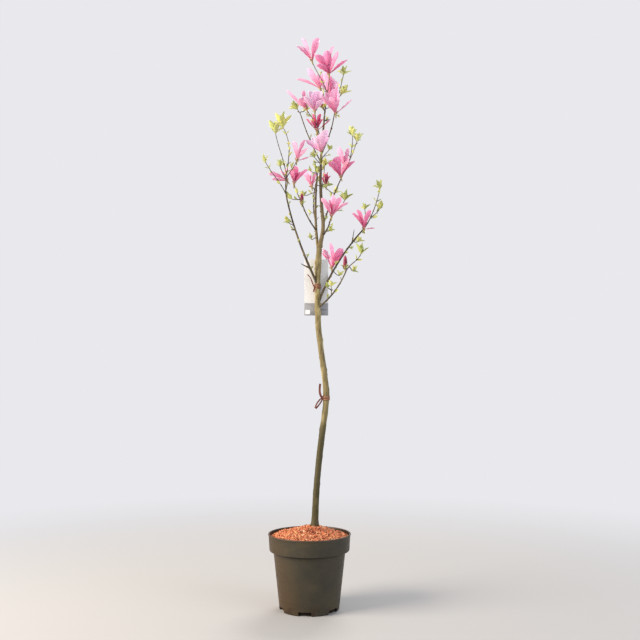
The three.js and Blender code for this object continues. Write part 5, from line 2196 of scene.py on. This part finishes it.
@dataclass
class RootBall:
    """The root ball: dark soil that fills the pot, and the layer of bark chips on it."""

    edge_height: float = 250
    crown_height: float = 282
    edge_radius: float = 142.5
    seat_radius: float = 20
    trunk_at: Pair = (18.9, 0)
    trunk_radius: float = 17
    mound: Pair = (6, 26)  # how high the chips are heaped round the trunk, and how far
    chips: int = 4600
    # half a chip's length, width and thickness, each from the least to the greatest
    sizes: tuple[Pair, Pair, Pair] = ((3.6, 9.0), (2.0, 4.6), (0.9, 2.2))
    seed: int = 7
    # the soil's section under its rough top, out and up
    walls: tuple[Pair, ...] = (
        (60, 6), (100, 6), (103, 10), (124.5, 190), (127, 206), (140.5, 214), (142.8, 246),
    )  # fmt: skip
    colours: tuple[Colour, ...] = (
        (209, 124, 80), (195, 106, 66), (226, 150, 102), (172, 88, 54), (112, 53, 32),
        (202, 154, 96), (242, 198, 152),
    )  # fmt: skip
    shares: tuple[float, ...] = (0.28, 0.24, 0.17, 0.14, 0.08, 0.06, 0.03)  # of each colour

    def off_trunk(self, x: Array, y: Array) -> Array:
        """Gives how far places are from the trunk's bark."""
        return np.hypot(x - self.trunk_at[0], y - self.trunk_at[1]) - self.trunk_radius

    def height(self, x: Array, y: Array) -> Array:
        """Gives the height of the domed layer, which is heaped up round the trunk.

        Args:
            x: places to the right.
            y: places to the back.

        Returns:
            The height at each place.
        """
        share = np.clip((np.hypot(x, y) - self.seat_radius) / (self.edge_radius - self.seat_radius), 0, 1)
        high, reach = self.mound
        heap = high * hill(np.maximum(self.off_trunk(x, y), 0), reach)
        return mix(self.crown_height, self.edge_height, share**1.3) + heap

    def dress(self) -> None:
        """Makes the soil and the chips."""
        self.soil()
        self.layer()

    def soil(self) -> None:
        """Makes the soil's body, rough on top."""
        sides = 120
        angle = 2 * np.pi * np.arange(sides) / sides
        noise = smooth_noise(self.seed, (64, 64))
        radius, height = np.array(self.walls).T
        rows = [*upright_rings(radius[:, None], height, sides)]
        for number, reach in enumerate(np.linspace(141, 3, 30)):
            x, y = reach * np.sin(angle), -reach * np.cos(angle)
            rough = ripple(noise[number][:37], angle / (2 * np.pi) * 37) * 2.2
            rows.append(np.stack([x, y, self.height(x, y) - 3 + rough], axis=1))
        walled = np.arange(len(rows) - 1) < len(self.walls) - 1
        body = Sculpture()
        body.capped(np.array(rows), walled.astype(int)[:, None])
        look = (260.0, 0.9, (0.8, 0.95), 0.8, 0.002)
        crust = Finish("soil", (76, 36, 25), (42, 20, 14), (112, 58, 40), *look, 0.25)
        dark = Finish("peat", (30, 23, 18), (18, 13, 10), (44, 34, 26), *look, 0.2)
        shown("soil", body, [crust, dark], ["substrate"])

    def layer(self) -> None:
        """Scatters irregular chips over the soil, in layers, each turned its own way."""
        draw = np.random.default_rng(self.seed)
        radius = self.edge_radius * np.sqrt(draw.uniform(0, 1, self.chips)) - 1.5
        angle = draw.uniform(0, 2 * np.pi, self.chips)
        x, y = radius * np.cos(angle), radius * np.sin(angle)
        keep = (self.off_trunk(x, y) > 0) & (radius > 0)
        x, y, radius = x[keep], y[keep], radius[keep]
        count = len(x)
        depth = draw.uniform(-2.5, 3.2, count) * (1 - 0.55 * (radius / self.edge_radius) ** 8)
        size = np.stack([draw.uniform(low, high, count) for low, high in self.sizes], axis=1)
        corners = self.chip_shape(draw, count) * size[:, None, :]
        turned = (self.turns(draw, count) @ corners.transpose(0, 2, 1)).transpose(0, 2, 1)
        points = turned + np.stack([x, y, self.height(x, y) + depth], axis=1)[:, None, :]
        reach = np.hypot(points[..., 0], points[..., 1])
        pull = np.minimum(1, (self.edge_radius + 0.6) / np.maximum(reach, 1))
        points[..., :2] *= pull[..., None]
        tone = draw.choice(len(self.colours), count, p=np.array(self.shares) / sum(self.shares))
        faces = np.array(self.chip_faces())
        every = (faces[None] + 12 * np.arange(count)[:, None, None]).reshape(-1, 3)
        chips = Sculpture()
        chips.add(points, every, np.repeat(tone, len(faces)))
        look = {"scale": 220.0, "amount": 0.85, "roughness": (0.7, 0.9), "bump": 0.6}
        more = {**look, "bump_depth": 0.0008, "specular": 0.3}
        finishes = [
            Finish.toned(f"bark_chip_{number}", colour, (0.76, 0.76, 0.76), 0.35, **more)
            for number, colour in enumerate(self.colours)
        ]
        sharpen(shown("bark_chips", chips, finishes, ["substrate"]), 20)

    @staticmethod
    def chip_shape(draw: np.random.Generator, count: int) -> Array:
        """Gives each chip twelve corners: two six-sided faces, torn unevenly.

        Args:
            draw: draws how they are torn.
            count: how many chips there are.

        Returns:
            Chips by corners by 3.
        """
        angle = np.arange(6) * np.pi / 3
        ring = np.stack([np.cos(angle), np.sin(angle)], axis=1)
        low = np.concatenate([ring, -np.ones((6, 1))], axis=1)
        high = np.concatenate([ring * 0.8, np.ones((6, 1))], axis=1)
        return np.concatenate([low, high]) * draw.uniform(0.62, 1.25, (count, 12, 3))

    @staticmethod
    def chip_faces() -> list[tuple[int, int, int]]:
        """Numbers the faces of a chip.

        Returns:
            Triangles, as numbers of corners.
        """
        faces = [(0, i + 1, i) for i in range(1, 5)]
        faces += [(6, 6 + i, 7 + i) for i in range(1, 5)]
        for i in range(6):
            following = (i + 1) % 6
            faces += [(i, following, 6 + following), (i, 6 + following, 6 + i)]
        return faces

    @staticmethod
    def turns(draw: np.random.Generator, count: int) -> Array:
        """Gives each chip a turn about the vertical and a tilt.

        Args:
            draw: draws the angles.
            count: how many chips there are.

        Returns:
            Chips by 3 by 3.
        """
        turns = draw.uniform(0, 2 * np.pi, count), *(draw.normal(0, 0.42, count) for _ in range(2))
        made = np.eye(3)
        for angle, (first, second) in zip(turns, ((0, 1), (2, 0), (1, 2))):
            about = np.tile(np.eye(3), (count, 1, 1))
            about[:, first, first] = about[:, second, second] = np.cos(angle)
            about[:, second, first] = np.sin(angle)
            about[:, first, second] = -np.sin(angle)
            made = made @ about
        return made


# ---- ties and card


@dataclass(frozen=True)
class Tie:
    """A strap tie: where it goes round the trunk, in how many turns, its knot and its tails.

    Places are counted right from the trunk's axis, back from the band's front, and up. Each
    tail has its widths at either end and its points.
    """

    node: str
    height: float
    band: float
    turns: int
    knot: Triple
    tails: tuple[tuple[Pair, tuple[Triple, ...]], ...]
    reach_back: float | None = None  # from the trunk's axis to the band's back, if not round


TIES = (
    Tie(
        "stem_tie", 753, 17, 3, (-14.5, 7, 1),
        (
            ((8, 7.6), ((-14, 8, 0), (-20, 4, 7), (-24, 0, 19), (-25, -1.5, 34), (-24, 0, 52))),
            ((5, 5.4), ((-14, 6, 1), (-24, 2, -7), (-34, 0, -21), (-40.5, 1, -38))),
            ((5, 5.4), ((-14, 9, -2), (-18, 6, -13), (-27, 4, -27), (-38, 3, -40))),
        ),
    ),
    Tie(
        "upper_tie", 1170, 19, 4, (-11.5, 6.5, -3),
        (
            ((5.4, 3), ((-11, 7, -3), (-16, 3, 5), (-22, 1, 20), (-27, 1, 32), (-38, 2, 45))),
            ((5, 5.6), ((-11, 6, -1), (-12.5, 3, -9), (-14.5, 2, -22))),
        ),
        17.2,
    ),
)  # fmt: skip


@dataclass
class TieWork:
    """Makes the strap ties from soft, ribbed strap."""

    framework: Framework
    gap: float = 0.42
    strap: float = 1.6  # its thickness
    sides: int = 72
    # the strap's two windings in a knot: half its width, height and depth, and its lean
    windings: tuple[tuple[float, ...], ...] = ((3.2, 2.2, 2.4, 0.5), (2.4, 3.6, 2.6, -0.35))

    def dress(self) -> None:
        """Makes both ties: the turns' outer faces in a paler finish as painted light, their edges, the
        knots and the tails in a darker one as painted shade.
        """
        look = (0.5, 0.7), 0.5, 0.0004, 0.3
        # painted light and shade: two tones of one strap, paler where it faces out, darker on its edges,
        # knots and tails
        finishes = [
            Finish("tie_lit_face", (148, 104, 76), (84, 46, 34), (182, 142, 108), 300.0, 0.8, *look),
            Finish("tie_strap", (116, 62, 50), (78, 38, 30), (150, 100, 78), 300.0, 0.7, *look),
        ]
        for tie in TIES:
            sharpen(shown(f"{tie.node}_strap", self.tie(tie), finishes, [tie.node]), 50)

    def tie(self, tie: Tie) -> Sculpture:
        """Makes one tie: its turns round the trunk, its knot and its tails.

        Args:
            tie: which one.

        Returns:
            Its points and faces.
        """
        trunk = self.framework.limbs["trunk"]
        s = trunk.at(tie.height)
        centre, tangent = trunk.point(s), trunk.tangent(s)
        side = unit(RIGHT - tangent * tangent[0])
        front = np.cross(side, tangent)
        ways = np.array((side, front, tangent))
        radius = float(max(trunk.radius(s - tie.band / 2), trunk.radius(s + tie.band / 2))) + self.gap
        stretch = (tie.reach_back or radius) / radius
        work = Sculpture()
        for turn in range(tie.turns):
            edges = [tie.band * ((turn + end) / tie.turns - 0.5) for end in (0.03, 0.97)]
            rings = self.loop(radius, stretch, *edges, turn)
            lit_rows = np.isin(np.arange(len(rings) - 1), (3, 4))  # the outer face, in the paler tone as painted light
            work.skin(centre + rings @ ways, np.where(lit_rows, 0, 1)[:, None])

        def spot(right: float, back: float, up: float) -> Array:
            """Places a point by how far it is right, back from the band's face and up."""
            return centre + vec(right, radius + self.strap - back, up) @ ways

        for winding in self.windings:
            work.capped(spot(*tie.knot) + self.knot(*winding) @ ways, 1)
        for widths, points in tie.tails:
            work.capped(self.tail(catmull_rom([spot(*point) for point in points]), front, widths), 1)
        return work

    def loop(self, radius: float, stretch: float, low: float, high: float, turn: int) -> Array:
        """Makes one turn of the strap round an upright axis, rounded at its edges.

        Args:
            radius: of its inner side.
            stretch: how much further than that its back is.
            low: its lower edge.
            high: its upper edge.
            turn: its number, which turns its slope.

        Returns:
            Rings from its inner side over its outer one and back, by points by 3: right, in
            front and up.
        """
        angle = 2 * np.pi * np.arange(self.sides) / self.sides
        thick, middle = self.strap, (low + high) / 2
        inner = (0.0, low + 0.5)
        profile = [inner, (0.35, low), (0.9, low + 0.1), (thick - 0.2, low + 0.9), (thick, middle)]
        profile += [(thick - 0.2, high - 0.9), (0.9, high - 0.1), (0.35, high), (0.0, high - 0.5), inner]
        out, up = np.array(profile).T[..., None]
        around, slope = radius + out, 0.7 * np.sin(angle + turn * 2.1)
        ahead = around * np.cos(angle) * np.where(np.cos(angle) < 0, stretch, 1.0)
        return np.stack([around * np.sin(angle), ahead, up + slope], axis=-1)

    @staticmethod
    def knot(wide: float, tall: float, deep: float, lean: float) -> Array:
        """Makes one winding of a knot: a bead that leans by an angle, in rings along its width.

        Args:
            wide: half its width.
            tall: half its height.
            deep: half its depth.
            lean: its angle from level, in radians.

        Returns:
            Rings by points by 3: right, in front and up.
        """
        angle = 2 * np.pi * np.arange(20) / 20
        share = np.linspace(1, -1, 9)[:, None, None]
        small = np.sqrt(np.maximum(1 - np.abs(share) ** 3, 0.04))
        along, up = vec(math.cos(lean), 0, math.sin(lean)), vec(-math.sin(lean), 0, math.cos(lean))
        ring = tall * np.outer(np.sin(angle), up) + deep * np.outer(np.cos(angle), -FRONT)
        return share * wide * along + small * ring

    def tail(self, samples: Array, front: Array, widths: Pair) -> Array:
        """Makes a loose end: rings along a flat strap with thick edges, cut off square.

        Args:
            samples: close points along it.
            front: the way that it faces.
            widths: at its start and its end.

        Returns:
            Rings by points by 3.
        """
        limb = Limb(samples, taper(*widths))
        s = np.linspace(0, limb.length, 26)
        tangent = limb.tangent(s)
        across = unit(np.cross(tangent, front))
        normal = np.cross(across, tangent)
        curl = 0.35 * np.sin(s / limb.length * 5.1)[:, None]
        wide = (across + normal * curl) * limb.radius(s)[:, None]
        deep = (normal - across * curl) * self.strap / 2
        half = ((-1, -0.6), (-0.8, -1), (-0.5, -0.45), (0.5, -0.45), (0.8, -1), (1, -0.6))
        section = [wide * u + deep * v for u, v in half]
        return limb.point(s)[:, None] + np.stack([*section, *(-place for place in section)], axis=1)


@dataclass(frozen=True)
class CardStock(Finish):
    """Smooth card."""

    scale: float = 30.0
    amount: float = 0.4
    roughness: Pair = (0.35, 0.45)
    bump: float = 0.1
    bump_depth: float = 0.0002


@dataclass
class Card:
    """The plain card behind the trunk, with its grey foot band."""

    corner: float = 2.0  # radius of a rounded one
    square: float = 0.05  # radius of the others
    trunk_off: float = 5  # how far the trunk's axis is right of the card's middle
    tie_height: float = 1170
    slot_apart: float = 7.2  # from the trunk's axis
    slot: Pair = (2.8, 10.7)  # half its width and its height

    def dress(self) -> None:
        """Makes the card's face and band, each inside its solid."""
        self.face()
        self.band()

    def plate(self, low: Array, high: Array, bottom: float, top: float) -> Sculpture:
        """Makes a thin plate with slightly worn edges.

        Args:
            low: its lowest corner, in millimetres.
            high: its highest corner, in millimetres.
            bottom: the radius of its bottom corners.
            top: the radius of its top corners.

        Returns:
            The plate.
        """
        middle = (low + high)[[0, 2]] / 2
        (left, _, foot), (right, _, head) = low, high
        corners = ((right, foot, bottom), (right, head, top), (left, head, top), (left, foot, bottom))
        parts = []
        for quarter, (x, z, radius) in enumerate(corners):
            place = vec(x, z)
            angle = np.radians(90 * quarter - 90 + 15 * np.arange(7))
            curve = radius * np.stack([np.cos(angle), np.sin(angle)], axis=1)
            parts.append(place - np.sign(place - middle) * radius + curve)
        outline = np.concatenate(parts)
        rows = []
        for y, inset in ((high[1], 0.25), (high[1] - 0.12, 0.06), (low[1] + 0.12, 0.06), (low[1], 0.25)):
            rows.append(np.insert(outline - np.sign(outline - middle) * inset, 1, y, axis=1))
        plate = Sculpture()
        plate.capped(np.array(rows))
        return plate

    def face(self) -> None:
        """Makes the white face, with the two slots that the tie passes."""
        low, high = np.array(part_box("card")) / MM
        white = (226, 225, 223), (218, 217, 216), (234, 233, 232)
        finish = CardStock("card_white", *white, amount=0.3, roughness=(0.32, 0.42))
        plate = self.plate(low, high, self.square, self.corner)
        piece = shown("card_face", plate, [finish], ["card"])
        cutters = Sculpture()
        x, y, _ = (low + high) / 2
        wide, tall = self.slot
        for apart in (-self.slot_apart, self.slot_apart):
            ring = np.array(((-wide, -5), (wide, -5), (wide, 5), (-wide, 5)))
            ring = ring + (x + self.trunk_off + apart, y)
            rows = [np.insert(ring, 2, self.tie_height + rise, axis=1) for rise in (-tall, tall)]
            cutters.capped(np.array(rows))
        carve(piece, cutters, "EXACT")
        piece.data.shade_flat()

    def band(self) -> None:
        """Makes the grey band, with its plain white square and a faint darker line."""
        low, high = np.array(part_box("card_band")) / MM
        plate = self.plate(low, high, self.corner, self.square)
        x, front, z = low
        line = mix(z, high[2], 0.42)
        self.patch(plate, (x + 4, x + 21), (z + 5, z + 21), front, 1)
        self.patch(plate, (x + 62, x + 84), (line, line + 3.4), front, 2)
        finishes = [
            CardStock("card_grey", (146, 146, 148), (136, 136, 138), (156, 156, 158)),
            CardStock("card_square", (240, 240, 240), (230, 230, 232), (248, 248, 248), amount=0.3),
            CardStock("card_line", (112, 112, 116), (104, 104, 108), (122, 122, 124)),
        ]
        sharpen(shown("card_foot_band", plate, finishes, ["card_band"]), 30)

    @staticmethod
    def patch(plate: Sculpture, x: Pair, z: Pair, front: float, slot: int) -> None:
        """Adds a thin printed patch that stands just proud of the front.

        Args:
            plate: the band's mesh, to which it is added.
            x: its left and right edge.
            z: its lower and upper edge.
            front: the place of the plate's front.
            slot: its material slot.
        """
        ring = np.array(((x[0], z[0]), (x[1], z[0]), (x[1], z[1]), (x[0], z[1])))
        rows = [np.insert(ring, 1, y, axis=1) for y in (front + 0.3, front - 0.06)]
        plate.capped(np.array(rows), slot)


# ---- studio


@dataclass
class Studio:
    """The floor, the light and the camera."""

    floor_radii: tuple[float, ...] = (9.0, 3.0, 1.0, 0.3)
    floor_height: float = -0.05  # millimetres
    floor_grey: Colour = (178, 176, 175)
    pale: Colour = (233, 233, 237)
    surround: Colour = (240, 243, 250)
    aim: Triple = (0, 0, 1.1)  # what the lamps face
    camera_tilt: float = 95.817  # degrees from straight down
    lens: float = 41.42

    def build(self) -> None:
        """Sets the stage."""
        self.floor()
        self.light()
        self.camera()
        bpy.context.scene.view_settings.view_transform = "Standard"

    def floor(self) -> None:
        """Makes a plain, pale floor that fades into the backdrop with distance."""
        radius = np.array(self.floor_radii)[:, None] / MM
        ground = Sculpture()
        ground.capped(upright_rings(radius, np.full(len(radius), self.floor_height), 96), foot=False)
        floor = linked("floor", ground.mesh("floor"))
        material = bpy.data.materials.new("pale_floor")
        material.use_nodes = True
        nodes = NodeTree(material.node_tree)
        away = nodes.add("VectorMath", {0: nodes.own()}, operation="LENGTH")["Value"]
        matt = nodes.add("BsdfPrincipled", {"Base Color": rgba(self.floor_grey), "Roughness": 0.9})[0]
        glow = nodes.add("Emission", {"Color": rgba(self.pale), "Strength": 1.0})[0]
        mixed = nodes.add("MixShader", {0: nodes.fade(away, 0.6, 3.2), 1: matt, 2: glow})[0]
        nodes.add("OutputMaterial", {"Surface": mixed})
        floor.data.materials.append(material)
        floor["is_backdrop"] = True

    def light(self) -> None:
        """Sets a bright, even surround, a soft key from the left and a fill from the right."""
        world = bpy.data.worlds.new("surround")
        bpy.context.scene.world = world
        world.use_nodes = True
        nodes = NodeTree(world.node_tree)
        seen = nodes.add("LightPath", {})["Is Camera Ray"]
        backdrop = nodes.add("Background", {"Color": rgba(self.pale), "Strength": 1.0})[0]
        around = nodes.add("Background", {"Color": rgba(self.surround), "Strength": 0.55})[0]
        mixed = nodes.add("MixShader", {0: seen, 1: around, 2: backdrop})[0]
        nodes.add("OutputWorld", {"Surface": mixed})
        self.lamp("key", (-3.7, -1.5, 2.4), 2.4, 330, (255, 243, 226))
        self.lamp("fill", (2.8, -1.9, 1.6), 2.2, 52, (238, 243, 255))
        self.lamp("rim", (0.8, 2.6, 3.0), 1.8, 80, (255, 252, 246))

    def lamp(self, name: str, place: Triple, size: float, power: float, colour: Colour) -> None:
        """Adds a square soft lamp that faces the crown.

        Args:
            name: the lamp's name.
            place: where it hangs, in metres.
            size: its side, in metres.
            power: in watts.
            colour: of its light.
        """
        data = bpy.data.lights.new(name, "AREA")
        data.energy, data.size, data.color = power, size, rgba(colour)[:3]
        lamp = linked(name, data)
        lamp.location = place
        lamp.rotation_euler = (Vector(self.aim) - Vector(place)).to_track_quat("-Z", "Y").to_euler()

    def camera(self) -> None:
        """Places the camera at the height of the card, looking a little up."""
        data = bpy.data.cameras.new("camera")
        data.lens = self.lens
        camera = linked("camera", data)
        camera.location = EYE * MM
        camera.rotation_euler = (math.radians(self.camera_tilt), 0, 0)
        bpy.context.scene.camera = camera


# ---- assembly


def corners() -> list[list[float]]:
    """Gives the part's lowest and highest corner as plain lists."""
    return [list(corner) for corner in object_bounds()]


def main() -> None:
    """Builds the part piece by piece, from the pot up."""
    solid_box = corners()
    Studio().build()
    Container().dress()
    RootBall().dress()
    framework = Framework()
    framework.grow()
    old = (130, 115, 75), (88, 77, 44), (174, 158, 112), 150.0
    middling = (92, 78, 54), (58, 46, 36), (128, 112, 80), 170.0
    smooth = (84, 72, 52), (54, 44, 36), (120, 106, 78), 190.0
    young = (82, 68, 60), (54, 42, 42), (118, 104, 88), 260.0
    foot = {"foot_base": (124, 108, 72), "turn_low": 1.32, "turn_high": 1.56}
    framework.dress(
        BarkFinish("trunk_bark", *old, bump_depth=0.0009),
        BarkFinish("leader_bark", *middling, bump_depth=0.0008, **foot),
        BarkFinish("bough_bark", *smooth, roughness=(0.55, 0.75), bump_depth=0.0007),
    )
    branching = Branching()
    branching.grow(framework.limbs)
    crown = Crown(framework, branching, *(np.array(corner) / MM for corner in solid_box))
    crown.grow()
    crown.dress(BarkFinish("twig_bark", *young, roughness=(0.5, 0.7), bump=0.5, specular=0.4))
    TieWork(framework).dress()
    Card().dress()


if __name__ == "__main__":
    main()
